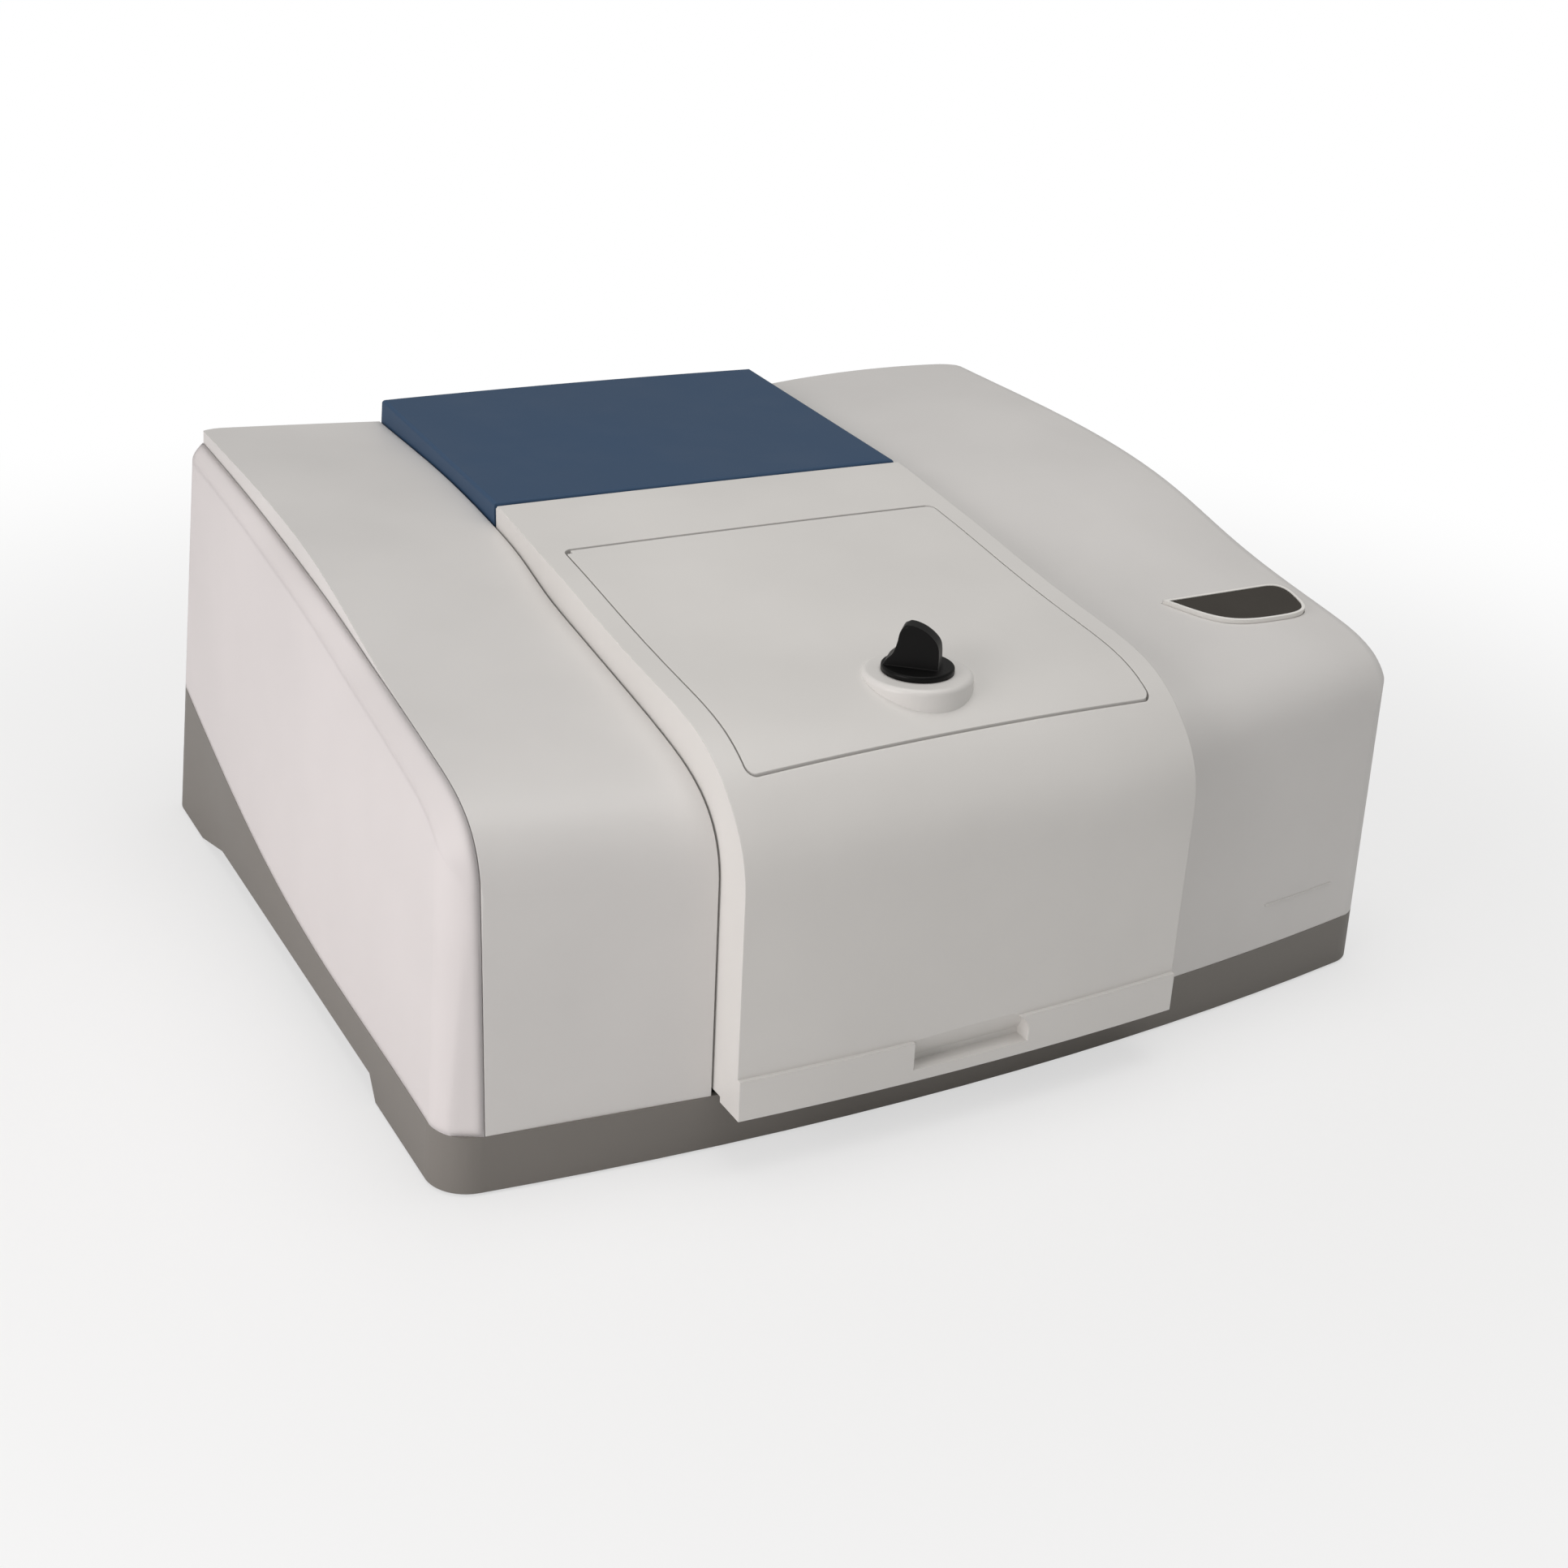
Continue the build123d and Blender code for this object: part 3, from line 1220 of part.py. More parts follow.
# Rear panel with its openings; tabs rise under each cover
vent_spots = [vent_x + (index - (vent_count - 1) / 2) * vent_pitch for index in range(vent_count)]
panel_faces = (panel_y, panel_y + sheet)
panel_middle_y = panel_y + sheet / 2
fan_screws = [
    (fan_x + side * fan_screw_pitch / 2, fan_z + end * fan_screw_pitch / 2)
    for side in (-1, 1)
    for end in (-1, 1)
]
side_tab = curve_height(inner_side, panel_distance) - wall - panel_tab_gap
middle_rise = (panel_distance - service_front) * math.tan(math.radians(service_pitch))
middle_tab = service_front_height + middle_rise - wall - panel_tab_gap
tab_spans = (
    (seam_x + wall * 2, left_inner - wall * 2, side_tab),
    (lid_left + wall * 2, lid_right - wall * 2, middle_tab),
    (right_inner + wall * 2, half_width - wall, side_tab),
)
with BuildPart() as rear_panel:
    block((-half_width, half_width), panel_faces, (floor_top, panel_shoulder))
    for left, right, height in tab_spans:
        block((left, right), panel_faces, (panel_shoulder, height))
    add(envelope(wall + fit_gap), mode=Mode.INTERSECT)
    rod("Y", (fan_x, panel_middle_y, fan_z), fan_bore, sheet * 2, Mode.SUBTRACT)
    for x, z in fan_screws:
        rod("Y", (x, panel_middle_y, z), screw_radius + running_gap, sheet * 2, Mode.SUBTRACT)
    inlet_hole = (socket_width + wall * 2 + fit_gap, sheet * 2, socket_height + wall * 2 + fit_gap)
    with Locations((inlet_x, panel_middle_y, inlet_z)):
        Box(*inlet_hole, mode=Mode.SUBTRACT)
    with Locations((switch_x, panel_middle_y, inlet_z)):
        Box(switch_width + fit_gap, sheet * 2, switch_height + fit_gap, mode=Mode.SUBTRACT)
    rod("Y", (fuse_x, panel_middle_y, inlet_z), fuse_radius + fit_gap, sheet * 2, Mode.SUBTRACT)
    with Locations((port_x, panel_middle_y, port_z)):
        Box(port_width + fit_gap, sheet * 2, port_height + fit_gap, mode=Mode.SUBTRACT)
    for x in vent_spots:
        with Locations((x, panel_middle_y, fan_z)):
            Box(vent_width, sheet * 2, vent_length, mode=Mode.SUBTRACT)
rear_panel.part.label = "rear_panel"

# Fan behind the panel with a wire guard outside
fan_y = (panel_y - fan_depth, panel_y)
fan_middle = (fan_x, (fan_y[0] + fan_y[1]) / 2, fan_z)
fan_half = fan_size / 2
with BuildPart() as fan_frame:
    block((fan_x - fan_half, fan_x + fan_half), fan_y, (fan_z - fan_half, fan_z + fan_half))
    fillet(fan_frame.edges().filter_by(Axis.Y), wall)
    rod("Y", fan_middle, fan_bore, fan_depth * 2, Mode.SUBTRACT)
    for x, z in fan_screws:
        rod("Y", (x, fan_middle[1], z), screw_radius, fan_depth * 2, Mode.SUBTRACT)
    rod("Y", (fan_x, fan_y[0] + wall / 2, fan_z), fan_hub - sheet, wall)
    spider_half = fan_bore + wall
    spider_y = (fan_y[0], fan_y[0] + wall)
    block((fan_x - spider_half, fan_x + spider_half), spider_y, (fan_z - wall, fan_z + wall))
    block((fan_x - wall, fan_x + wall), spider_y, (fan_z - spider_half, fan_z + spider_half))
    rod("Y", (fan_x, fan_middle[1] - sheet, fan_z), fan_shaft, fan_depth - sheet * 2)
fan_frame.part.label = "fan_frame"


def fan_blade():
    """One pitched blade, pointing along X from the hub."""
    reach = fan_bore - sheet - fan_hub + wall
    with BuildPart() as blade:
        middle = (fan_x + fan_hub - wall + reach / 2, fan_middle[1], fan_z)
        with Locations(Location(middle, (fan_pitch, 0, 0))):
            Box(reach, blade_chord, blade_thick)
    return blade.part


with BuildPart() as fan_rotor:
    rod("Y", fan_middle, fan_hub, fan_depth - wall * 3)
    blade_form = fan_blade()
    for index in range(fan_blades):
        add(blade_form.rotate(Axis(fan_middle, (0, 1, 0)), index * 360 / fan_blades))
    rod("Y", fan_middle, fan_shaft + running_gap, fan_depth * 2, Mode.SUBTRACT)
fan_rotor.part.label = "fan_rotor"

guard_y = panel_faces[1]
with BuildPart() as fan_guard:
    with BuildSketch(Plane.XZ.offset(-guard_y)):
        with Locations((fan_x, fan_z)):
            for radius in guard_rings:
                Circle(radius + guard_wire / 2)
                Circle(radius - guard_wire / 2, mode=Mode.SUBTRACT)
            for turn in (45, 135):
                with Locations(Location((0, 0), turn)):
                    Rectangle(fan_screw_pitch * math.sqrt(2) + screw_radius * 4, guard_wire)
            with GridLocations(fan_screw_pitch, fan_screw_pitch, 2, 2):
                Circle(screw_radius * 2)
                Circle(screw_radius + running_gap, mode=Mode.SUBTRACT)
    extrude(amount=-guard_wire)
fan_guard.part.label = "fan_guard"

head_y = guard_y + guard_wire
with BuildPart() as fan_screw_set:
    for x, z in fan_screws:
        rod("Y", (x, (fan_y[0] + head_y) / 2, z), screw_radius - running_gap, head_y - fan_y[0])
        rod("Y", (x, head_y + sheet / 2, z), screw_head, sheet)
fan_screw_set.part.label = "fan_screws"


def socket_form(spot, outer, flange, depth, cavity, cavity_depth):
    """A flanged socket set in the rear panel, with a straight recess in its outer face."""
    x, z = spot
    outer_y = panel_faces[1]
    with BuildPart() as socket:
        with Locations((x, outer_y + sheet / 2, z)):
            Box(outer[0] + flange * 2, sheet, outer[1] + flange * 2)
        with Locations((x, outer_y - depth / 2, z)):
            Box(outer[0], depth, outer[1])
        with Locations((x, outer_y + sheet - cavity_depth / 2, z)):
            Box(cavity[0], cavity_depth, cavity[1], mode=Mode.SUBTRACT)
    return socket.part


socket_outer = (socket_width + wall * 2, socket_height + wall * 2)
socket_cavity = (socket_width, socket_height)
inlet_spot = (inlet_x, inlet_z)
with BuildPart() as power_inlet:
    inlet_back = panel_faces[1] + sheet - inlet_depth
    add(socket_form(inlet_spot, socket_outer, inlet_flange, inlet_depth + wall, socket_cavity, inlet_depth))
    pin_y = (inlet_back - sheet, inlet_back + inlet_pin_length)
    for step, rise in ((-1, 0), (0, 1), (1, 0)):
        pin_x = inlet_x + step * inlet_pin_pitch
        pin_z = inlet_z + rise * inlet_pin_rise
        block((pin_x - sheet / 2, pin_x + sheet / 2), pin_y, (pin_z - sheet, pin_z + sheet))
power_inlet.part.label = "power_inlet"

switch_cavity = (switch_width - sheet * 2, switch_height - sheet * 2)
rocker_y = panel_faces[1] - sheet / 2
rocker_axis = (rocker_y, inlet_z)
switch_outer = (switch_width, switch_height)
switch_floor = switch_depth - sheet
with BuildPart() as power_switch_frame:
    add(socket_form((switch_x, inlet_z), switch_outer, sheet, switch_depth, switch_cavity, switch_floor))
    bore_length = switch_width - sheet - fit_gap
    rod("X", (switch_x, *rocker_axis), hinge_pin_radius + running_gap, bore_length, Mode.SUBTRACT)
power_switch_frame.part.label = "power_switch_frame"


def rocker_form():
    """The rocker's side outline drawn level, then pressed over to its first position."""
    half = switch_cavity[1] / 2 - sheet / 2
    front = rocker_y + sheet * 2
    side = switch_cavity[0] / 2 - fit_gap
    tilt = math.tan(math.radians(rocker_throw / 2))
    with BuildPart() as rocker:
        with BuildSketch(Plane.YZ.offset(switch_x - side)):
            with BuildLine():
                Polyline(
                    (rocker_y - sheet * 2, inlet_z),
                    (rocker_y, inlet_z - half),
                    (front + half * tilt, inlet_z - half),
                    (front, inlet_z),
                    (front + half * tilt, inlet_z + half),
                    (rocker_y, inlet_z + half),
                    close=True,
                )
            make_face()
        extrude(amount=side * 2)
        rod("X", (switch_x, *rocker_axis), hinge_pin_radius, switch_width - sheet * 2)
    return rocker.part.rotate(Axis((switch_x, *rocker_axis), (1, 0, 0)), -rocker_throw / 2)


with BuildPart() as power_rocker:
    add(rocker_form())
power_rocker.part.label = "power_rocker"

with BuildPart() as fuse_holder:
    rod("Y", (fuse_x, panel_faces[1] + sheet, inlet_z), fuse_radius + sheet, sheet * 2)
    rod("Y", (fuse_x, panel_faces[1] - fuse_length / 2, inlet_z), fuse_radius, fuse_length)
    slot_spot = (fuse_x, panel_faces[1] + sheet * 2, inlet_z)
    with Locations(slot_spot):
        Box(fuse_slot_length, sheet, fuse_slot, mode=Mode.SUBTRACT)
fuse_holder.part.label = "fuse_holder"

port_cavity = (port_width - sheet * 2, port_height - sheet * 2)
with BuildPart() as data_port:
    port_outer = (port_width, port_height)
    add(socket_form((port_x, port_z), port_outer, sheet, port_depth, port_cavity, port_depth - sheet))
data_port.part.label = "data_port"

os.makedirs("parts", exist_ok=True)
export_step(base_tray.part, "parts/base_tray.step")
export_step(rubber_feet.part, "parts/rubber_feet.step")
export_step(left_side_cover.part, "parts/left_side_cover.step")
export_step(left_top_cover.part, "parts/left_top_cover.step")
export_step(right_top_cover.part, "parts/right_top_cover.step")
export_step(window_bezel.part, "parts/window_bezel.step")
export_step(status_window.part, "parts/status_window.step")
export_step(status_board.part, "parts/status_board.step")
export_step(service_cover.part, "parts/service_cover.step")
export_step(sample_lid.part, "parts/sample_lid.step")
export_step(lid_hinge_pins.part, "parts/lid_hinge_pins.step")
export_step(sample_hatch.part, "parts/sample_hatch.step")
export_step(hatch_hinge_pins.part, "parts/hatch_hinge_pins.step")
export_step(latch_knob.part, "parts/latch_knob.step")
export_step(latch_cam.part, "parts/latch_cam.step")
export_step(optical_bench.part, "parts/optical_bench.step")
export_step(bench_isolators.part, "parts/bench_isolators.step")
export_step(sample_tub.part, "parts/sample_tub.step")
export_step(tub_seal.part, "parts/tub_seal.step")
export_step(window_rings.part, "parts/window_rings.step")
export_step(beam_windows.part, "parts/beam_windows.step")
export_step(sample_holder.part, "parts/sample_holder.step")
export_step(sample_card.part, "parts/sample_card.step")
export_step(interferometer_housing.part, "parts/interferometer_housing.step")
export_step(interferometer_cover.part, "parts/interferometer_cover.step")
export_step(beamsplitter.part, "parts/beamsplitter.step")
export_step(beamsplitter_mount.part, "parts/beamsplitter_mount.step")
export_step(fixed_corner_cube.part, "parts/fixed_corner_cube.step")
export_step(fixed_cube_bracket.part, "parts/fixed_cube_bracket.step")
export_step(moving_corner_cube.part, "parts/moving_corner_cube.step")
export_step(scan_carriage.part, "parts/scan_carriage.step")
export_step(guide_rods.part, "parts/guide_rods.step")
export_step(rod_supports.part, "parts/rod_supports.step")
export_step(voice_coil.part, "parts/voice_coil.step")
export_step(voice_coil_magnet.part, "parts/voice_coil_magnet.step")
export_step(source_housing.part, "parts/source_housing.step")
export_step(infrared_source.part, "parts/infrared_source.step")
export_step(source_mirror.part, "parts/source_mirror.step")
export_step(reference_laser.part, "parts/reference_laser.step")
export_step(laser_clamps.part, "parts/laser_clamps.step")
export_step(collecting_mirror.part, "parts/collecting_mirror.step")
export_step(collecting_mirror_mount.part, "parts/collecting_mirror_mount.step")
export_step(detector.part, "parts/detector.step")
export_step(detector_board.part, "parts/detector_board.step")
export_step(desiccant_canister.part, "parts/desiccant_canister.step")
export_step(power_supply.part, "parts/power_supply.step")
export_step(main_board.part, "parts/main_board.step")
export_step(board_standoffs.part, "parts/board_standoffs.step")
export_step(lid_hinge_brackets.part, "parts/lid_hinge_brackets.step")
export_step(rear_panel.part, "parts/rear_panel.step")
export_step(fan_frame.part, "parts/fan_frame.step")
export_step(fan_rotor.part, "parts/fan_rotor.step")
export_step(fan_guard.part, "parts/fan_guard.step")
export_step(fan_screw_set.part, "parts/fan_screws.step")
export_step(power_inlet.part, "parts/power_inlet.step")
export_step(power_switch_frame.part, "parts/power_switch_frame.step")
export_step(power_rocker.part, "parts/power_rocker.step")
export_step(fuse_holder.part, "parts/fuse_holder.step")
export_step(data_port.part, "parts/data_port.step")
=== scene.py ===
# %% [markdown]
# # A bench-top infrared spectrometer, dressed for a studio picture
#
# A spectrometer of this kind sends infrared light through a sample and measures what comes out.
# Its solid model is finished, with every cover, screw and mirror as a piece of its own. This file
# loads it, gives every piece a believable surface, adds the small things that are quicker to make
# here than in the solid model, and sets up a quiet studio picture.
#
# All lengths are metres. X runs across the front of the instrument, Y from front to back and Z
# up, the same as in the solid model. No piece that is loaded gets moved or reshaped, because the
# joints of that model carry it.

# %% Load the solid model
import json
import math

import bmesh
import bpy
from mathutils import Matrix, Vector
from mathutils.bvhtree import BVHTree


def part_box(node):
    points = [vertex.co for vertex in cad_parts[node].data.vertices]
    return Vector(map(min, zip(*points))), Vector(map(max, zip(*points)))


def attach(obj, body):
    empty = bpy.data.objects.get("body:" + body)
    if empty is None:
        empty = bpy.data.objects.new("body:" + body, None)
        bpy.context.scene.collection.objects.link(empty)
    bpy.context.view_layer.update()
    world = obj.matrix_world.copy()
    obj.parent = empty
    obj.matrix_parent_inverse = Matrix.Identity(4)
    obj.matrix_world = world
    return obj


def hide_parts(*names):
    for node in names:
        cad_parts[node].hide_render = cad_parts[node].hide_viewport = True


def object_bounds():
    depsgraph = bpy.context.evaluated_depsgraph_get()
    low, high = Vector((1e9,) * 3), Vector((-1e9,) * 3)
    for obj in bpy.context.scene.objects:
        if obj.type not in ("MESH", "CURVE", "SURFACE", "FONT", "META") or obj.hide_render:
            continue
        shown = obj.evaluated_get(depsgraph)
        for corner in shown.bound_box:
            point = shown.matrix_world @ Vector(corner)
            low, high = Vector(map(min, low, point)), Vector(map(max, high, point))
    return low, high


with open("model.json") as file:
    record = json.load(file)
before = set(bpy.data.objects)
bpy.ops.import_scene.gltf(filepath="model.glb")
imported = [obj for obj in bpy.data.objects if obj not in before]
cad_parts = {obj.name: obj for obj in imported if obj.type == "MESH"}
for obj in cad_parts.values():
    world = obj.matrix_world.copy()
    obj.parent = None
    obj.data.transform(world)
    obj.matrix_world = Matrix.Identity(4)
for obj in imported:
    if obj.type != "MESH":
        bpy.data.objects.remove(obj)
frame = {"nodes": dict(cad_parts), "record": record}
nodes = frame["nodes"]
solid_low, solid_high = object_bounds()
print("pieces in the solid model:", len(nodes))
print("size in metres:", [round(value, 3) for value in solid_high - solid_low])

# %% [markdown]
# ## The camera
#
# The picture to match was taken from the front left, a little above the instrument, with a
# normal lens. A camera can be placed by eye, but a wrong lens then bends every edge. This one was
# worked out instead, from straight edges of the body and where they lie in the picture. An azimuth
# and an elevation give the way it looks, and a small roll tips the horizon.

# %% Place the camera
camera_place = Vector((-0.5233, -0.9358, 0.5509))
camera_azimuth = math.radians(-30.148)
camera_elevation = math.radians(24.406)
camera_roll = math.radians(2.859)
focal_length = 47.47
film_width = 36.0
nearest_seen = 0.05
farthest_seen = 50


def camera_axes(azimuth, elevation, roll):
    """Right, up and backward directions of a camera that is turned, raised and rolled."""
    back = Vector((
        math.sin(azimuth) * math.cos(elevation),
        -math.cos(azimuth) * math.cos(elevation),
        math.sin(elevation),
    ))
    level = Vector((math.cos(azimuth), math.sin(azimuth), 0))
    upright = back.cross(level)
    right = level * math.cos(roll) + upright * math.sin(roll)
    return right, back.cross(right), back


def add_camera():
    """A camera object with the fitted lens and place."""
    data = bpy.data.cameras.new("camera")
    data.lens = focal_length
    data.sensor_width = film_width
    data.clip_start = nearest_seen
    data.clip_end = farthest_seen
    camera = bpy.data.objects.new("camera", data)
    bpy.context.scene.collection.objects.link(camera)
    axes = camera_axes(camera_azimuth, camera_elevation, camera_roll)
    turn = Matrix(axes).transposed().to_4x4()
    camera.matrix_world = Matrix.Translation(camera_place) @ turn
    bpy.context.scene.camera = camera
    return camera


camera = add_camera()
bpy.context.scene.view_settings.view_transform = "Standard"
print("camera looks along", [round(value, 3) for value in -camera.matrix_world.col[2].xyz])

# %% [markdown]
# ## Shared surface effects
#
# Real surfaces are never even. A moulded cover varies a little in colour, has a fine grain, gets
# rubbed along its edges and catches dust on top. Pictures could show that, but they need every
# piece to be laid out flat. Noise needs no layout, and it reads object coordinates, which are the
# true lengths of the instrument, so a scale of 1000 gives grains of about a millimetre.
#
# Four node groups make the effects once, and every material uses them with values of its own.
# A few helpers come first, because nodes take many lines when each is written out. The places
# that they ask for only keep the node editor readable.

# %% Helpers for nodes
socket_kinds = {
    "value": "NodeSocketFloat",
    "colour": "NodeSocketColor",
    "vector": "NodeSocketVector",
}
groups = {}


def new_group(name, inputs, outputs):
    """An empty node group with named sockets, and its input and output nodes."""
    group = bpy.data.node_groups.new(name, "ShaderNodeTree")
    for label, kind, default in inputs:
        socket = group.interface.new_socket(label, in_out="INPUT", socket_type=socket_kinds[kind])
        socket.default_value = default
    for label, kind in outputs:
        group.interface.new_socket(label, in_out="OUTPUT", socket_type=socket_kinds[kind])
    enter = group.nodes.new("NodeGroupInput")
    leave = group.nodes.new("NodeGroupOutput")
    enter.location = (-900, 0)
    leave.location = (500, 0)
    return group, enter, leave


def node(tree, kind, place, **settings):
    """A node of a kind at a place in the editor, with some of its settings."""
    made = tree.nodes.new(kind)
    made.location = place
    for name, value in settings.items():
        setattr(made, name, value)
    return made


print("kinds of socket:", ", ".join(socket_kinds))


# %% Helpers for noise and sums
def noise(tree, place, detail):
    """A noise texture over object coordinates."""
    coordinates = node(tree, "ShaderNodeTexCoord", (place[0] - 200, place[1]))
    texture = node(tree, "ShaderNodeTexNoise", place)
    texture.inputs["Detail"].default_value = detail
    tree.links.new(coordinates.outputs["Object"], texture.inputs["Vector"])
    return texture


def remap(tree, place, low, high, new_low=0.0, new_high=1.0):
    """Spreads a value between two limits onto a new range."""
    made = node(tree, "ShaderNodeMapRange", place)
    made.inputs["From Min"].default_value = low
    made.inputs["From Max"].default_value = high
    made.inputs["To Min"].default_value = new_low
    made.inputs["To Max"].default_value = new_high
    return made


def maths(tree, operation, place, first, second):
    """A sum, difference or product of two values, each a socket or a number."""
    made = node(tree, "ShaderNodeMath", place, operation=operation)
    for slot, value in enumerate((first, second)):
        if isinstance(value, (int, float)):
            made.inputs[slot].default_value = value
        else:
            tree.links.new(value, made.inputs[slot])
    return made


def tell(group):
    """Prints a group's name and its sockets."""
    print(group.name, "has", ", ".join(item.name for item in group.interface.items_tree))


print("noise is read over object coordinates")

# %% [markdown]
# ### Colour drift
#
# A large moulding cools unevenly, so it is a little lighter here and darker there. A slow noise
# gives such clouds. It is spread onto -1 to 1, shrunk to the amount that the material asks for,
# and the colour is scaled by one plus that. The plain noise leaves the group too, as a mask that
# the roughness follows later.

# %% Colour drift
noise_low = 0.3
noise_high = 0.7


def colour_drift():
    """A colour that drifts slowly lighter and darker, and a mask of the drift."""
    inputs = [
        ("Colour", "colour", (0.8, 0.8, 0.8, 1)),
        ("Scale", "value", 9.0),
        ("Amount", "value", 0.04),
    ]
    group, enter, leave = new_group(
        "Colour Drift", inputs, [("Colour", "colour"), ("Mask", "value")]
    )
    slow = noise(group, (-650, 200), detail=3.0)
    group.links.new(enter.outputs["Scale"], slow.inputs["Scale"])
    spread = remap(group, (-430, 200), noise_low, noise_high, -1.0, 1.0)
    group.links.new(slow.outputs["Fac"], spread.inputs["Value"])
    swing = maths(
        group, "MULTIPLY", (-210, 200), spread.outputs["Result"], enter.outputs["Amount"]
    )
    bright = maths(group, "ADD", (-30, 200), swing.outputs[0], 1.0)
    tint = node(group, "ShaderNodeVectorMath", (160, 100), operation="SCALE")
    group.links.new(enter.outputs["Colour"], tint.inputs[0])
    group.links.new(bright.outputs[0], tint.inputs["Scale"])
    group.links.new(tint.outputs[0], leave.inputs["Colour"])
    group.links.new(slow.outputs["Fac"], leave.inputs["Mask"])
    return group


groups["drift"] = colour_drift()
tell(groups["drift"])

# %% [markdown]
# ### Moulded grain
#
# The covers have the fine matt grain of a textured mould. It is far too small to model, so a Bump
# node bends the light by a noise whose height is a few hundredths of a millimetre. The solids also
# have perfectly sharp edges, which no real piece has. A Bevel node rounds the light over them by a
# small radius, and the mesh stays as it is.

# %% Moulded grain
bevel_samples = 4


def moulded_grain():
    """A normal with a fine grain, laid over edges that a small radius has softened."""
    inputs = [
        ("Scale", "value", 1400.0),
        ("Depth", "value", 0.00002),
        ("Radius", "value", 0.0006),
    ]
    group, enter, leave = new_group("Moulded Grain", inputs, [("Normal", "vector")])
    fine = noise(group, (-650, 200), detail=2.0)
    group.links.new(enter.outputs["Scale"], fine.inputs["Scale"])
    soft = node(group, "ShaderNodeBevel", (-430, -150), samples=bevel_samples)
    group.links.new(enter.outputs["Radius"], soft.inputs["Radius"])
    bump = node(group, "ShaderNodeBump", (-100, 100))
    group.links.new(fine.outputs["Fac"], bump.inputs["Height"])
    group.links.new(enter.outputs["Depth"], bump.inputs["Distance"])
    group.links.new(soft.outputs["Normal"], bump.inputs["Normal"])
    group.links.new(bump.outputs["Normal"], leave.inputs["Normal"])
    return group


groups["grain"] = moulded_grain()
tell(groups["grain"])

# %% [markdown]
# ### Worn edges and painted edge highlights
#
# Hands and cloths polish the edges first. Such wear can be painted by hand, piece by piece. The
# Bevel node finds the edges by itself: its rounded normal and the true normal differ there and
# nowhere else. One minus their dot product is the mask, and noise breaks it up, because a real
# edge never wears as an even line. On the lid and the covers the same mask also paints a
# highlight: a light edge colour that stands for the bright line that light draws along their
# rounded edges.

# %% Worn edges and painted edge highlights
wear_and_highlight_patches = 160.0
full_wear_and_highlight = 0.12


def edge_wear_and_highlight():
    """A mask that is bright along edges and broken up by noise."""
    inputs = [("Radius", "value", 0.0012), ("Reach", "value", 0.35)]
    group, enter, leave = new_group("Edge Wear And Highlight", inputs, [("Mask", "value")])
    soft = node(group, "ShaderNodeBevel", (-650, 200), samples=bevel_samples)
    group.links.new(enter.outputs["Radius"], soft.inputs["Radius"])
    true = node(group, "ShaderNodeNewGeometry", (-650, -20))
    turn = node(group, "ShaderNodeVectorMath", (-430, 100), operation="DOT_PRODUCT")
    group.links.new(soft.outputs["Normal"], turn.inputs[0])
    group.links.new(true.outputs["Normal"], turn.inputs[1])
    apart = maths(group, "SUBTRACT", (-210, 100), 1.0, turn.outputs["Value"])
    broken = noise(group, (-430, -200), detail=4.0)
    broken.inputs["Scale"].default_value = wear_and_highlight_patches
    product = maths(group, "MULTIPLY", (-30, 0), apart.outputs[0], broken.outputs["Fac"])
    spread = remap(group, (150, 0), 0.0, full_wear_and_highlight)
    group.links.new(product.outputs[0], spread.inputs["Value"])
    scaled = maths(group, "MULTIPLY", (330, 0), spread.outputs["Result"], enter.outputs["Reach"])
    group.links.new(scaled.outputs[0], leave.inputs["Mask"])
    return group


groups["wear_and_highlight"] = edge_wear_and_highlight()
tell(groups["wear_and_highlight"])

# %% [markdown]
# ### Settled dust
#
# Fine dust lies where a face looks up. Grains of it would be far too many to model, and a mask is
# enough for something so faint. The Z part of the true normal says how far a face looks up, and a
# patchy noise keeps the dust uneven.

# %% Settled dust
dust_tilt = 0.4
dust_patches = 30.0
dust_low = 0.45
dust_high = 0.75


def settled_dust():
    """A mask of fine patchy dust, only where a face looks up."""
    group, enter, leave = new_group(
        "Settled Dust", [("Amount", "value", 0.1)], [("Mask", "value")]
    )
    true = node(group, "ShaderNodeNewGeometry", (-650, 200))
    parts = node(group, "ShaderNodeSeparateXYZ", (-470, 200))
    group.links.new(true.outputs["Normal"], parts.inputs[0])
    upward = remap(group, (-290, 200), dust_tilt, 1.0)
    group.links.new(parts.outputs["Z"], upward.inputs["Value"])
    patches = noise(group, (-650, -100), detail=6.0)
    patches.inputs["Scale"].default_value = dust_patches
    spread = remap(group, (-290, -100), dust_low, dust_high)
    group.links.new(patches.outputs["Fac"], spread.inputs["Value"])
    both = maths(
        group, "MULTIPLY", (-80, 100), upward.outputs["Result"], spread.outputs["Result"]
    )
    scaled = maths(group, "MULTIPLY", (120, 100), both.outputs[0], enter.outputs["Amount"])
    group.links.new(scaled.outputs[0], leave.inputs["Mask"])
    return group


groups["dust"] = settled_dust()
tell(groups["dust"])

# %% [markdown]
# ## The surfaces
#
# Colours are easiest to judge as they look on a screen, from 0 to 255, but shading adds up real
# amounts of light. One helper turns the first into the second. Two more place a shared effect
# inside a material and blend two colours by a mask.

# %% Helpers for colours
screen_threshold = 0.04045
screen_slope = 12.92
screen_offset = 0.055
screen_power = 2.4


def linear(colour):
    """A colour given as 0 to 255 on a screen, as the light values that shading needs."""
    parts = []
    for value in colour:
        part = value / 255
        if part < screen_threshold:
            parts.append(part / screen_slope)
        else:
            parts.append(((part + screen_offset) / (1 + screen_offset)) ** screen_power)
    return (*parts, 1)


def use_group(tree, key, place, **values):
    """One of the shared effects inside a material."""
    made = node(tree, "ShaderNodeGroup", place)
    made.node_tree = groups[key]
    for name, value in values.items():
        made.inputs[name].default_value = value
    return made


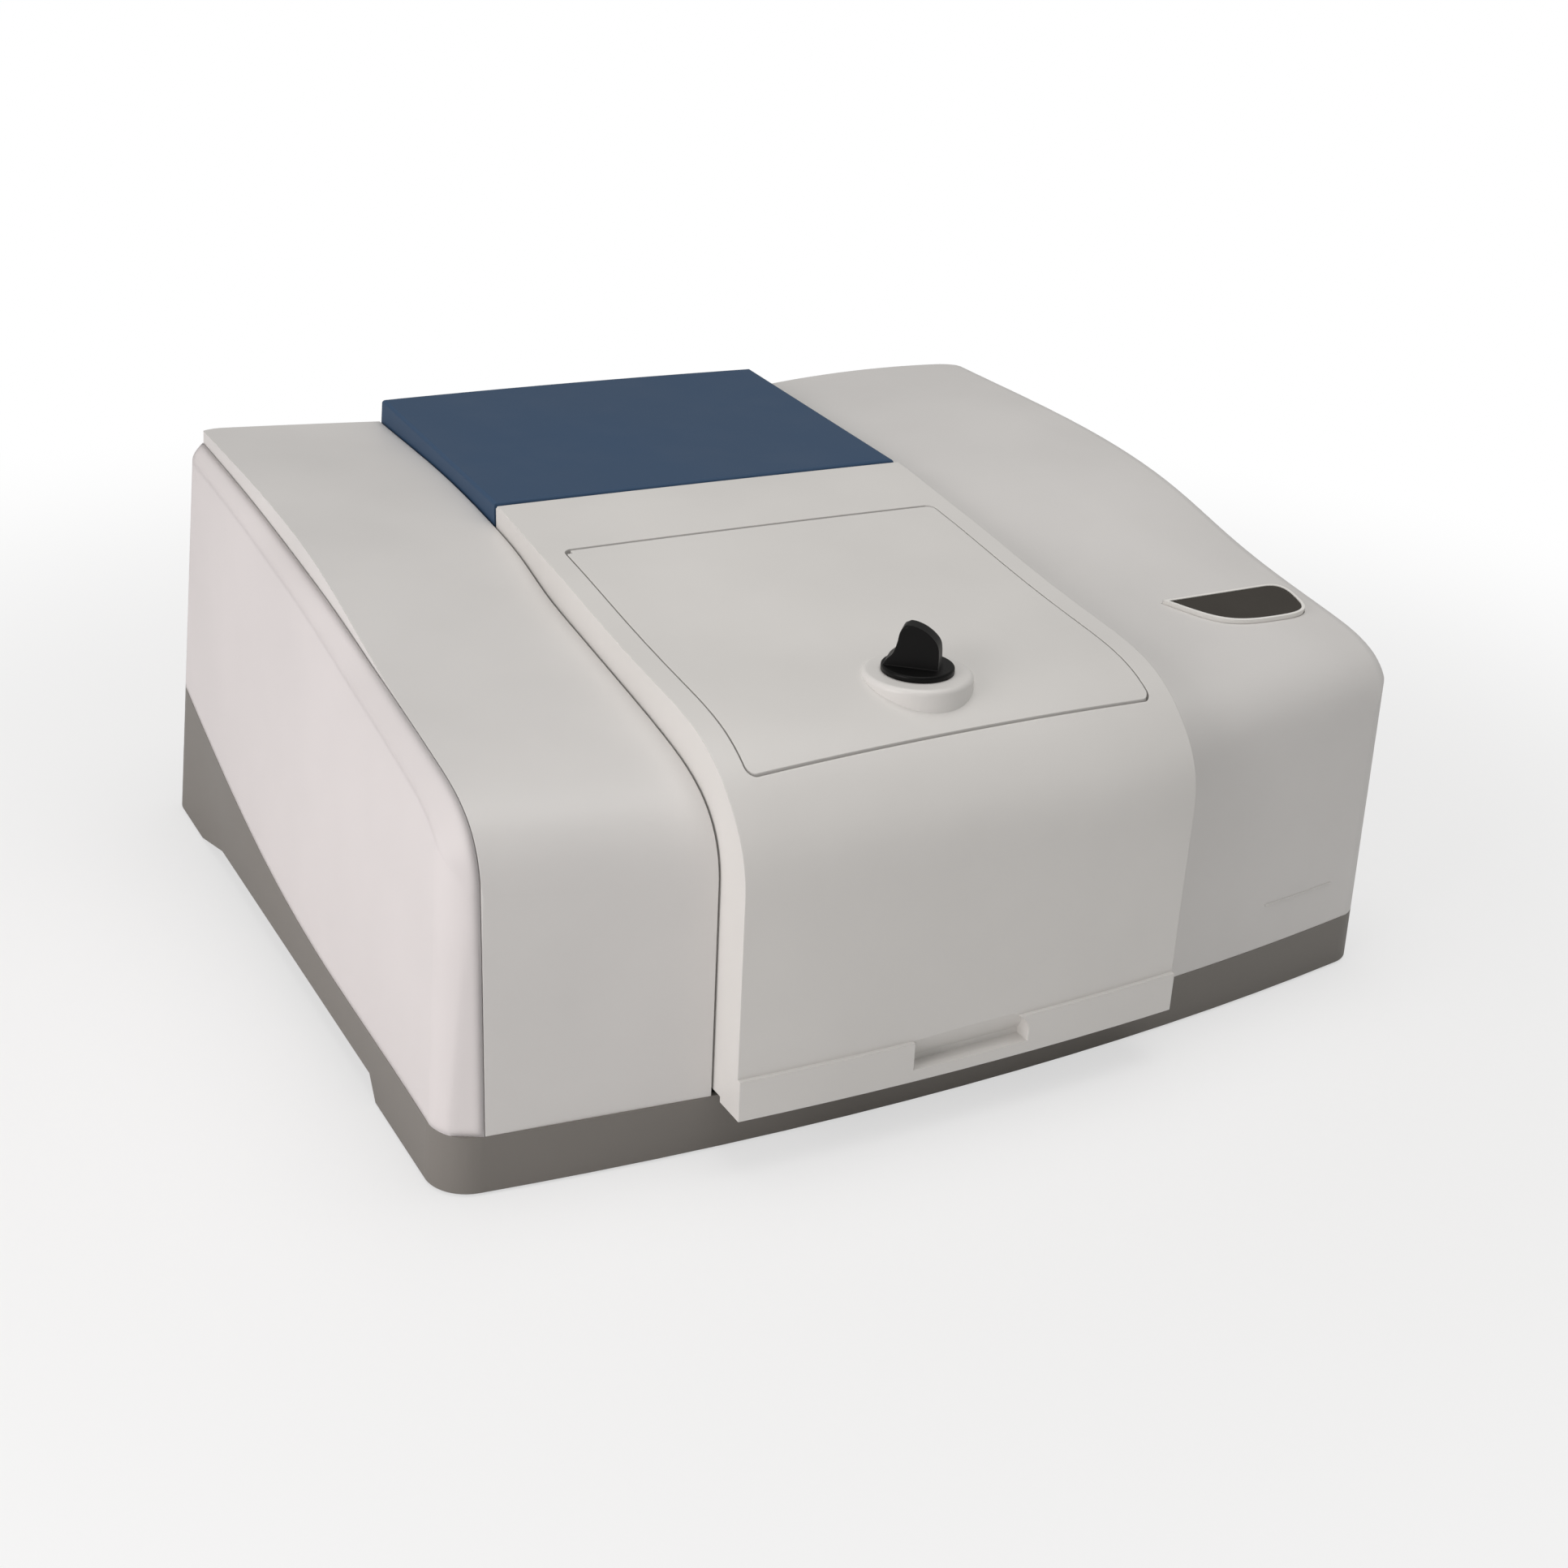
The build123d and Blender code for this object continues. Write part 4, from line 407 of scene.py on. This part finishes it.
def mix_colours(tree, place, mask, low, high):
    """A blend between two colours, each a socket or fixed values."""
    made = node(tree, "ShaderNodeMix", place, data_type="RGBA")
    tree.links.new(mask, made.inputs["Factor"])
    for name, value in (("A", low), ("B", high)):
        socket = [item for item in made.inputs if item.name == name and item.type == "RGBA"][0]
        if isinstance(value, tuple):
            socket.default_value = value
        else:
            tree.links.new(value, socket)
    return [item for item in made.outputs if item.type == "RGBA"][0]


print("middle grey on a screen is", round(linear((128,))[0], 3), "of full light")

# %% [markdown]
# ### One recipe for solid surfaces
#
# Plastic, paint, metal and rubber differ only in their numbers, so one function builds them all
# round a Principled shader. Three inputs are linked: the base colour with its drift, wear and
# dust, a roughness that follows the drift, and a normal with the grain. On the lid and the covers
# the wear colour also carries a painted edge highlight. What is the same all over a surface, such
# as how metallic it is, stays a plain number on the shader.

# %% The general surface
dust_colour = linear((196, 190, 180))
worn_lift = 24
smoothest = 0.88
roughest = 1.12
materials = {}


def surface(name, colour, roughness, metallic=0.0, grain=1400.0, depth=0.00002, drift=0.03,
            wear_and_highlight=0.2, worn_and_highlit=None, dust=0.05, gloss=0.5, soft=0.0006):
    """A solid surface with drift, grain, worn edges that on the lid and covers also carry a painted
    highlight, and a little dust.
    """
    material = bpy.data.materials.new(name)
    material.use_nodes = True
    tree = material.node_tree
    tree.nodes.clear()
    output = node(tree, "ShaderNodeOutputMaterial", (900, 0))
    shader = node(tree, "ShaderNodeBsdfPrincipled", (600, 0))
    shader.inputs["Metallic"].default_value = metallic
    shader.inputs["Specular IOR Level"].default_value = gloss
    tree.links.new(shader.outputs[0], output.inputs["Surface"])
    base = use_group(tree, "drift", (-500, 200), Colour=linear(colour), Amount=drift)
    edges = use_group(tree, "wear_and_highlight", (-500, 0), Reach=wear_and_highlight)
    dusty = use_group(tree, "dust", (-500, -180), Amount=dust)
    rubbed_and_highlit = linear(worn_and_highlit or tuple(min(255, part + worn_lift) for part in colour))
    mixed = mix_colours(
        tree, (-200, 200), edges.outputs["Mask"], base.outputs["Colour"], rubbed_and_highlit
    )
    mixed = mix_colours(tree, (50, 200), dusty.outputs["Mask"], mixed, dust_colour)
    tree.links.new(mixed, shader.inputs["Base Color"])
    shine = remap(tree, (-200, -60), noise_low, noise_high,
                  roughness * smoothest, min(1.0, roughness * roughest))
    tree.links.new(base.outputs["Mask"], shine.inputs["Value"])
    tree.links.new(shine.outputs["Result"], shader.inputs["Roughness"])
    bent = use_group(tree, "grain", (-200, -300), Scale=grain, Depth=depth, Radius=soft)
    tree.links.new(bent.outputs["Normal"], shader.inputs["Normal"])
    materials[name] = material


print("dust colour as light:", [round(value, 3) for value in dust_colour])

# %% [markdown]
# ### The case
#
# The covers and the lid are moulded in a warm off-white, the tray below them in grey and the
# service cover behind the lid in matt blue. The knob is black plastic, and the feet are rubber,
# which is much rougher. The left side cover has a long bevelled edge that looks soft in the
# picture, so its light is rounded over 6 mm, while the others keep the usual 0.6 mm. Each colour
# was chosen and then corrected against the picture, until it came close under these lamps.

# %% Plastics and rubbers of the case
# The cover's light edge colour is partly wear and partly a painted highlight along its rounded
# edges and seams.
surface("cover_plastic", (222, 220, 218), 0.42, dust=0.03, wear_and_highlight=0.4, worn_and_highlit=(248, 246, 242))
# The bezel is a real raised rim, and its colour lighter than the cover is a painted highlight along
# it.
surface("bezel_highlight_plastic", (244, 242, 238), 0.35, dust=0.02)
surface("side_plastic", (224, 219, 219), 0.42, dust=0.03, soft=0.006)
# The lid's light edge colour is partly wear and partly a painted highlight along its rounded edges
# and ledge.
surface("lid_plastic", (225, 223, 220), 0.40, dust=0.03, wear_and_highlight=0.5, worn_and_highlit=(250, 248, 244))
surface("tray_plastic", (124, 120, 115), 0.46, worn_and_highlit=(160, 156, 150))
surface("service_plastic", (56, 80, 108), 0.5, worn_and_highlit=(84, 108, 134), dust=0.01, gloss=0.2)
surface("knob_plastic", (9, 9, 9), 0.42, worn_and_highlit=(28, 28, 28), dust=0.005, gloss=0.16)
surface("black_plastic", (24, 24, 25), 0.5, worn_and_highlit=(60, 60, 62))
surface("card_plastic", (232, 226, 208), 0.6)
surface("foot_rubber", (26, 26, 26), 0.85, grain=900.0, depth=0.00006)
surface("seal_rubber", (30, 30, 31), 0.8, grain=900.0, depth=0.00006)
print("plastics and rubbers:", len(materials))

# %% [markdown]
# ### The inside
#
# The rear panel and the sample tub are painted sheet, one pale and one dark, so that stray light
# dies in the tub. The optics stand on machined and cast aluminium, and their mirrors are gold,
# which reflects infrared best. Bare metals are fully metallic and take their look from the
# roughness: low for a mirror, high for a casting. The status window is here as well, because it
# looks dark and solid in the picture.

# %% Metals, optics and boards
surface("panel_metal", (214, 213, 210), 0.5, grain=2200.0, depth=0.00003, worn_and_highlit=(170, 170, 172))
surface("well_metal", (52, 53, 56), 0.55, grain=2200.0, depth=0.00003, worn_and_highlit=(120, 120, 122))
surface("steel", (196, 196, 198), 0.28, metallic=1.0, grain=600.0, depth=0.00001)
surface("machined_aluminium", (206, 207, 210), 0.34, metallic=1.0, grain=700.0)
surface("cast_aluminium", (176, 177, 180), 0.55, metallic=1.0, grain=1600.0, depth=0.00005)
surface("gold_mirror", (246, 214, 140), 0.06, metallic=1.0, depth=0.0, wear_and_highlight=0.0, dust=0.0)
surface("brass", (214, 178, 104), 0.3, metallic=1.0, grain=600.0)
surface("copper_wire", (196, 110, 66), 0.35, metallic=1.0, grain=300.0, depth=0.0001)
surface("ceramic_white", (238, 236, 230), 0.35)
surface("board_green", (22, 84, 48), 0.35, grain=500.0, depth=0.00005, worn_and_highlit=(150, 150, 90))
surface("smoked_glass", (62, 58, 53), 0.25, depth=0.0, dust=0.01, wear_and_highlight=0.05, gloss=0.12)
print("solid surfaces in all:", len(materials))

# %% [markdown]
# ### The beam windows
#
# Two polished windows let the beam cross the sample tub. Light has to pass through them, so their
# transmission weight is a high plain number. A slight smear varies the tint and the roughness,
# because glass without any looks like a hole.

# %% Clear glass
glass_clearness = 0.9
glass_index = 1.5
glass_smoothest = 0.02
glass_roughest = 0.09
smear_high = 0.8


def clear_glass():
    """A polished window that lets light through."""
    material = bpy.data.materials.new("clear_glass")
    material.use_nodes = True
    tree = material.node_tree
    shader = [item for item in tree.nodes if item.type == "BSDF_PRINCIPLED"][0]
    shader.inputs["Transmission Weight"].default_value = glass_clearness
    shader.inputs["Metallic"].default_value = 0.0
    shader.inputs["IOR"].default_value = glass_index
    smear = use_group(
        tree, "drift", (-500, 200), Colour=linear((222, 232, 230)), Amount=0.02, Scale=25.0
    )
    shine = remap(
        tree, (-250, 0), noise_low, smear_high, glass_smoothest, glass_roughest
    )
    tree.links.new(smear.outputs["Colour"], shader.inputs["Base Color"])
    tree.links.new(smear.outputs["Mask"], shine.inputs["Value"])
    tree.links.new(shine.outputs["Result"], shader.inputs["Roughness"])
    return material


materials["clear_glass"] = clear_glass()
print("surfaces with the glass:", len(materials))

# %% [markdown]
# ### Giving each piece its surface
#
# The record of the solid model names a kind of material for every piece, so nothing has to be
# chosen by hand. Only two pieces have a finish of their own: the left side cover with its soft
# edge, and the bezel of the status window, which is coloured lighter than the cover round it as
# a painted highlight along its raised rim.

# %% Give out the surfaces
slot_of = {part["node"]: part["material_slot"] for part in frame["record"]["subparts"]}
slot_of["left_side_cover"] = "side_plastic"
slot_of["window_bezel"] = "bezel_highlight_plastic"
for name, piece in nodes.items():
    piece.data.materials.clear()
    piece.data.materials.append(materials[slot_of[name]])
print("pieces given a surface:", len(nodes))

# %% [markdown]
# ## Small things on the rear
#
# The rear has screws, thin closing strips and the marks on the power switch. In the solid model
# they would be many small features for little gain. Here each takes a few lines with Blender's own
# mesh tools, gets one surface, and rides on the body that carries it, so that it moves with it.

# %% Helpers for small pieces
mark_height = 0.0002


def add_piece(name, builder, key, body):
    """An object from a finished mesh, with a material and a body that carries it."""
    mesh = bpy.data.meshes.new(name)
    bmesh.ops.recalc_face_normals(builder, faces=builder.faces)
    builder.to_mesh(mesh)
    builder.free()
    mesh.materials.append(materials[key])
    piece = bpy.data.objects.new(name, mesh)
    bpy.context.scene.collection.objects.link(piece)
    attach(piece, body)
    print(name, "has", len(mesh.polygons), "faces")
    return piece


def add_brick(builder, low, high):
    """A box between two corners."""
    low, high = Vector(low), Vector(high)
    place = Matrix.Translation((low + high) / 2) @ Matrix.Diagonal((*(high - low), 1))
    return bmesh.ops.create_cube(builder, size=1.0, matrix=place)["verts"]


def tree_of(name):
    """A search tree over one piece's faces, for measuring along a line."""
    return BVHTree.FromObject(nodes[name], bpy.context.evaluated_depsgraph_get())


print("small marks stand", mark_height * 1000, "mm proud")

# %% [markdown]
# ### Panel screws
#
# Eight screws hold the rear panel to the case. A threaded screw would be wasted here, because only
# its head shows. A short round bar makes the head, and two thin bars drawn across it stand for
# the cross of the driver. The screws keep clear of the openings in the panel.

# %% Panel screws
screw_radius = 0.0034
screw_height = 0.0018
screw_sides = 32
cross_reach = 0.62
cross_width = 0.16
screw_inset = 0.03
lower_screws = (-0.2, -0.08, 0.08, 0.2)
upper_screws = (-0.222, -0.16, 0.122, 0.222)
panel_low, panel_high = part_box("rear_panel")


def add_screw(builder, x, z):
    """A low round head with a cross on it, on the rear panel."""
    back = panel_high.y
    front = back + screw_height
    lying = Matrix.Rotation(math.pi / 2, 4, "X")
    bmesh.ops.create_cone(
        builder, cap_ends=True, segments=screw_sides, radius1=screw_radius,
        radius2=screw_radius, depth=screw_height,
        matrix=Matrix.Translation((x, back + screw_height / 2, z)) @ lying,
    )
    arm = screw_radius * cross_reach
    thin = screw_radius * cross_width
    for across, rise in ((arm, thin), (thin, arm)):
        low = (x - across, front, z - rise)
        high = (x + across, front + mark_height / 2, z + rise)
        add_brick(builder, low, high)


builder = bmesh.new()
for x in lower_screws:
    add_screw(builder, x, panel_low.z + screw_inset)
for x in upper_screws:
    add_screw(builder, x, panel_high.z - screw_inset)
add_piece("panel_screws", builder, "steel", "instrument")

# %% [markdown]
# ### Closing strips
#
# The covers stand a little above the top edge of the rear panel, and a thin strip of the same
# sheet closes each gap. Its curve could be written as a formula, but a change to a cover would
# then open the gap again. Instead a plain bar is cut into short lengths, and each cut is moved to
# the heights that a line straight up and down meets: the cover above and the panel's edge below.

# %% Closing strips
strip_step = 0.006
strip_gap = 0.0012
far_above = 1
up = Vector((0, 0, 1))
strips = (
    (-0.241, -0.149, "left_top_cover"),
    (-0.133, 0.091, "service_cover"),
    (0.106, 0.244, "right_top_cover"),
)


def gap_heights(x, panel, cover):
    """The heights of the panel's top edge and of the strip's top, which is just below a cover."""
    y = (panel_low.y + panel_high.y) / 2
    foot = panel.ray_cast(Vector((x, y, panel_high.z + far_above)), -up)[0]
    roof = cover.ray_cast(foot + up * mark_height, up)[0]
    return foot.z, roof.z - strip_gap


def add_strip(builder, start, end, cover_name):
    """A bar one unit tall, whose height is then spread between the panel and a cover."""
    panel, cover = tree_of("rear_panel"), tree_of(cover_name)
    corners = add_brick(builder, (start, panel_low.y, 0), (end, panel_high.y, 1))
    along = [edge for edge in builder.edges if edge.verts[0] in corners
             and abs(edge.verts[1].co.x - edge.verts[0].co.x) > strip_step]
    cuts = round((end - start) / strip_step) - 1
    bmesh.ops.subdivide_edges(builder, edges=along, cuts=cuts)
    for vert in builder.verts:
        if vert.co.z in (0, 1):
            foot, roof = gap_heights(vert.co.x, panel, cover)
            vert.co.z = foot + (roof - foot) * vert.co.z


builder = bmesh.new()
for start, end, cover_name in strips:
    add_strip(builder, start, end, cover_name)
add_piece("panel_strips", builder, "panel_metal", "instrument")

# %% [markdown]
# ### Switch marks
#
# The power switch carries the two plain marks that every such switch has, a bar for on and a ring
# for off. They could be printed with a picture, but solid marks stay sharp from near by. A line
# from behind finds the face of each half and the way it looks. The bar is a thin box. The ring
# starts as a small four-sided outline, which a spin takes once round.

# %% Switch marks
mark_share = 0.27
look_from = 0.05
bar_width = 0.0011
bar_length = 0.0052
ring_outer = 0.0026
ring_inner = 0.0017
ring_steps = 40
rocker_low, rocker_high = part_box("power_rocker")


def place_on_rocker(side):
    """A place on the rocker's upper (1) or lower (-1) half, with Z away from its face."""
    middle = (rocker_low + rocker_high) / 2
    rise = side * (rocker_high.z - rocker_low.z) * mark_share
    start = Vector((middle.x, rocker_high.y + look_from, middle.z + rise))
    spot, normal = tree_of("power_rocker").ray_cast(start, Vector((0, -1, 0)))[:2]
    turn = normal.to_track_quat("Z", "Y").to_matrix().to_4x4()
    return Matrix.Translation(spot + normal * mark_height / 2) @ turn


def add_bar(builder, place):
    """The mark for on."""
    size = Matrix.Diagonal((bar_width, bar_length, mark_height, 1))
    bmesh.ops.create_cube(builder, size=1.0, matrix=place @ size)


def add_ring(builder, place):
    """The mark for off."""
    half = mark_height / 2
    outline = ((ring_outer, -half), (ring_outer, half), (ring_inner, half), (ring_inner, -half))
    corners = [builder.verts.new(place @ Vector((reach, 0, z))) for reach, z in outline]
    edges = [builder.edges.new(ends) for ends in zip(corners, corners[1:] + corners[:1])]
    bmesh.ops.spin(
        builder, geom=corners + edges, cent=place.translation, axis=place.col[2].xyz,
        angle=math.tau, steps=ring_steps, use_merge=True,
    )


builder = bmesh.new()
add_bar(builder, place_on_rocker(1))
add_ring(builder, place_on_rocker(-1))
add_piece("switch_marks", builder, "ceramic_white", "rocker")

# %% [markdown]
# ## The latch knob
#
# The knob on the hatch is turned by a blade that two fingers grip. In the solid model it is a
# plain blade on a disc. In the picture it has a sloping rounded crest and a flared rear, so a
# finer knob stands in for it here. It keeps the disc's width, the spindle's foot and the place of
# the solid one. Its blade is 3 degrees off the solid's and a little lower.
#
# The side view of the blade says most about it, so that is drawn first, as a few points along the
# outline and up. A smooth line through them gives the round crest without drawing every point.

# %% The blade's outline
blade_outline = (
    (-0.0160, 0.0016), (-0.0142, 0.0052), (-0.0112, 0.0086), (-0.0096, 0.0138),
    (-0.0087, 0.0188), (-0.0066, 0.0218), (-0.0034, 0.0224), (0.0012, 0.0211),
    (0.0056, 0.0184), (0.0090, 0.0146), (0.0101, 0.0100), (0.0102, 0.0016),
)
points_between = 5


def smooth_line(points):
    """Points along a smooth line that passes through every given point."""
    line = []
    last = len(points) - 1
    for index in range(last):
        near = [max(0, min(last, index + step)) for step in (-1, 0, 1, 2)]
        four = [Vector(points[place]) for place in near]
        for part in range(points_between):
            t = part / points_between
            line.append(
                four[1] + (four[2] - four[0]) * t / 2
                + (four[0] * 2 - four[1] * 5 + four[2] * 4 - four[3]) * t**2 / 2
                + (four[1] * 3 - four[0] - four[2] * 3 + four[3]) * t**3 / 2
            )
    return line + [Vector(points[-1])]


print("points on the smooth outline:", len(smooth_line(blade_outline)))

# %% [markdown]
# ### The blade
#
# The blade is thinner at its crest than at its foot, so that the moulding could leave its mould.
# An extrusion alone would make it equally thick everywhere. So the outline is drawn once for each
# side, with a distance between the two that shrinks with the height, and a band of faces joins
# them. A bevel round both sides takes the sharpness off.

# %% The blade
knob_low, knob_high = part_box("latch_knob")
knob_tall = 0.024
blade_half = 0.0064
blade_taper = 0.4
blade_edge = 0.0011
round_steps = 4


def soften(builder, edges, reach):
    """Rounds some edges."""
    bmesh.ops.bevel(
        builder, geom=edges, offset=reach, segments=round_steps, profile=0.5,
        affect="EDGES", material=-1,
    )


def add_blade(builder, turn):
    """The knob's blade: its side outline with a thickness that shrinks towards the crest."""
    line = smooth_line(blade_outline)
    rings = []
    for side in (-1, 1):
        ring = []
        for along, height in line:
            half = blade_half * (1 - blade_taper * height / knob_tall)
            ring.append(builder.verts.new(turn @ Vector((along, side * half, height))))
        rings.append(ring)
    near, far = rings
    faces = [builder.faces.new(near), builder.faces.new(reversed(far))]
    for index in range(len(line)):
        after = (index + 1) % len(line)
        builder.faces.new((near[index], near[after], far[after], far[index]))
    soften(builder, list({edge for face in faces for edge in face.edges}), blade_edge)


print("the solid knob is", round((knob_high.z - knob_low.z) * 1000, 1), "mm tall with its spindle")

# %% [markdown]
# ### The whole knob
#
# Disc, blade and spindle are one moulding, so they share one mesh. The disc and the spindle are
# round bars, and the disc's upper rim is softened. The curved faces are shaded smooth, and the
# flat ends stay flat. Last, the new knob takes the place of the solid one, on the same body, so
# that it turns with the latch.

# %% The whole knob
knob_reach = (knob_high.x - knob_low.x) / 2
disc_height = 0.0028
disc_edge = 0.0009
disc_sides = 96
spindle_radius = 0.004
spindle_sides = 48
blade_turn = math.radians(-42)


def add_round(builder, foot, radius, height, sides):
    """An upright round bar that stands on a point."""
    bmesh.ops.create_cone(
        builder, cap_ends=True, segments=sides, radius1=radius, radius2=radius,
        depth=height, matrix=Matrix.Translation(foot + Vector((0, 0, height / 2))),
    )


def add_knob():
    """The knob in one piece: a disc with a soft rim, the blade and the spindle below."""
    middle = (knob_low + knob_high) / 2
    base = Vector((middle.x, middle.y, knob_high.z - knob_tall))
    builder = bmesh.new()
    add_round(builder, base, knob_reach, disc_height, disc_sides)
    rim = [edge for edge in builder.edges
           if all(vert.co.z > base.z + disc_height / 2 for vert in edge.verts)]
    soften(builder, rim, disc_edge)
    spindle_foot = Vector((middle.x, middle.y, knob_low.z))
    add_round(builder, spindle_foot, spindle_radius, base.z - knob_low.z, spindle_sides)
    add_blade(builder, Matrix.Translation(base) @ Matrix.Rotation(blade_turn, 4, "Z"))
    for face in builder.faces:
        face.smooth = len(face.verts) == 4
    return add_piece("knob", builder, "knob_plastic", "latch")


knob = add_knob()
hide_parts("latch_knob")

# %% [markdown]
# ## The studio
#
# A product picture needs a plain floor that takes a soft shadow and then fades into white. A
# bright floor could be had with more light, but that would bleach the pale covers too. Here the
# floor's own material does it: near the instrument it is a blend of matt grey and plain white,
# and further out it turns wholly white. Only the camera sees the white.

# %% Floor
floor_reach = 6.0
floor_grey = (0.86, 0.86, 0.86, 1)
plain_white = (1, 1, 1, 1)
fade_start = 0.35
fade_end = 1.1
near_white = 0.6


def blend_shaders(tree, place, mask, first, second, output):
    """Sends a blend of two shaders to the output."""
    blend = node(tree, "ShaderNodeMixShader", place)
    tree.links.new(mask, blend.inputs[0])
    tree.links.new(first.outputs[0], blend.inputs[1])
    tree.links.new(second.outputs[0], blend.inputs[2])
    tree.links.new(blend.outputs[0], output.inputs["Surface"])


def floor_material():
    """Matt grey that turns white with the distance from the middle, for the camera alone."""
    material = bpy.data.materials.new("floor")
    material.use_nodes = True
    tree = material.node_tree
    tree.nodes.clear()
    output = node(tree, "ShaderNodeOutputMaterial", (900, 0))
    matte = node(tree, "ShaderNodeBsdfDiffuse", (300, 100))
    matte.inputs["Color"].default_value = floor_grey
    white = node(tree, "ShaderNodeEmission", (300, -100))
    white.inputs["Color"].default_value = plain_white
    coordinates = node(tree, "ShaderNodeTexCoord", (-500, 0))
    distance = node(tree, "ShaderNodeVectorMath", (-300, 0), operation="LENGTH")
    tree.links.new(coordinates.outputs["Object"], distance.inputs[0])
    far = remap(tree, (-100, 0), fade_start, fade_end, near_white, 1.0)
    far.interpolation_type = "SMOOTHSTEP"
    tree.links.new(distance.outputs["Value"], far.inputs["Value"])
    rays = node(tree, "ShaderNodeLightPath", (-100, 300))
    seen = maths(
        tree, "MULTIPLY", (100, 200), far.outputs["Result"], rays.outputs["Is Camera Ray"]
    )
    blend_shaders(tree, (600, 0), seen.outputs[0], matte, white, output)
    return material


def add_floor():
    """A wide flat floor."""
    mesh = bpy.data.meshes.new("floor")
    builder = bmesh.new()
    bmesh.ops.create_grid(builder, x_segments=1, y_segments=1, size=floor_reach)
    builder.to_mesh(mesh)
    builder.free()
    mesh.materials.append(floor_material())
    floor = bpy.data.objects.new("floor", mesh)
    bpy.context.scene.collection.objects.link(floor)


add_floor()
print("floor reaches", floor_reach, "m")

# %% [markdown]
# ### Backdrop
#
# What lies beyond the floor is the world. It has two jobs that need different strengths: it fills
# the shadows with a soft warm light, and it is the white that the camera sees. The Light Path node
# tells the two apart, so neither has to give way.

# %% Backdrop
fill_tint = (1.0, 0.99, 0.97, 1)
fill_strength = 0.34


def set_backdrop():
    """A backdrop that the camera sees as white and that lights the scene softly."""
    world = bpy.data.worlds.new("studio")
    bpy.context.scene.world = world
    world.use_nodes = True
    tree = world.node_tree
    tree.nodes.clear()
    output = node(tree, "ShaderNodeOutputWorld", (500, 0))
    soft = node(tree, "ShaderNodeBackground", (0, 100))
    soft.inputs["Color"].default_value = fill_tint
    soft.inputs["Strength"].default_value = fill_strength
    white = node(tree, "ShaderNodeBackground", (0, -100))
    white.inputs["Color"].default_value = plain_white
    rays = node(tree, "ShaderNodeLightPath", (0, 350))
    blend_shaders(tree, (250, 0), rays.outputs["Is Camera Ray"], soft, white, output)


set_backdrop()
print("fill light strength:", fill_strength)

# %% [markdown]
# ### Lamps
#
# Large lamps give soft shadows, like the diffusers of a photographer. Three are enough: a broad one
# from the left, which makes the side cover the brightest face as in the picture, one overhead for
# the tops, and a weak one at the front right that opens the shadows. All face the middle of the
# instrument.

# %% Lamps
centre = (solid_low + solid_high) / 2
# Each lamp's name, place from the middle, width, power in watts and colour.
lamps = (
    ("left_lamp", (-1.9, -0.5, 0.5), 1.2, 18, (1.0, 0.955, 0.95)),
    ("top_lamp", (0.1, -0.2, 1.9), 1.4, 14, (1.0, 0.985, 0.97)),
    ("front_lamp", (1.5, -1.5, 0.9), 1.2, 0.5, (1, 1, 1)),
)


def add_lamp(name, place, size, power, tint):
    """A square lamp that faces the middle of the instrument."""
    data = bpy.data.lights.new(name, "AREA")
    data.shape = "SQUARE"
    data.size = size
    data.energy = power
    data.color = tint
    lamp = bpy.data.objects.new(name, data)
    bpy.context.scene.collection.objects.link(lamp)
    lamp.location = centre + Vector(place)
    lamp.rotation_euler = (-Vector(place)).to_track_quat("-Z", "Y").to_euler()


for lamp in lamps:
    add_lamp(*lamp)
print("lamps:", ", ".join(lamp[0] for lamp in lamps))
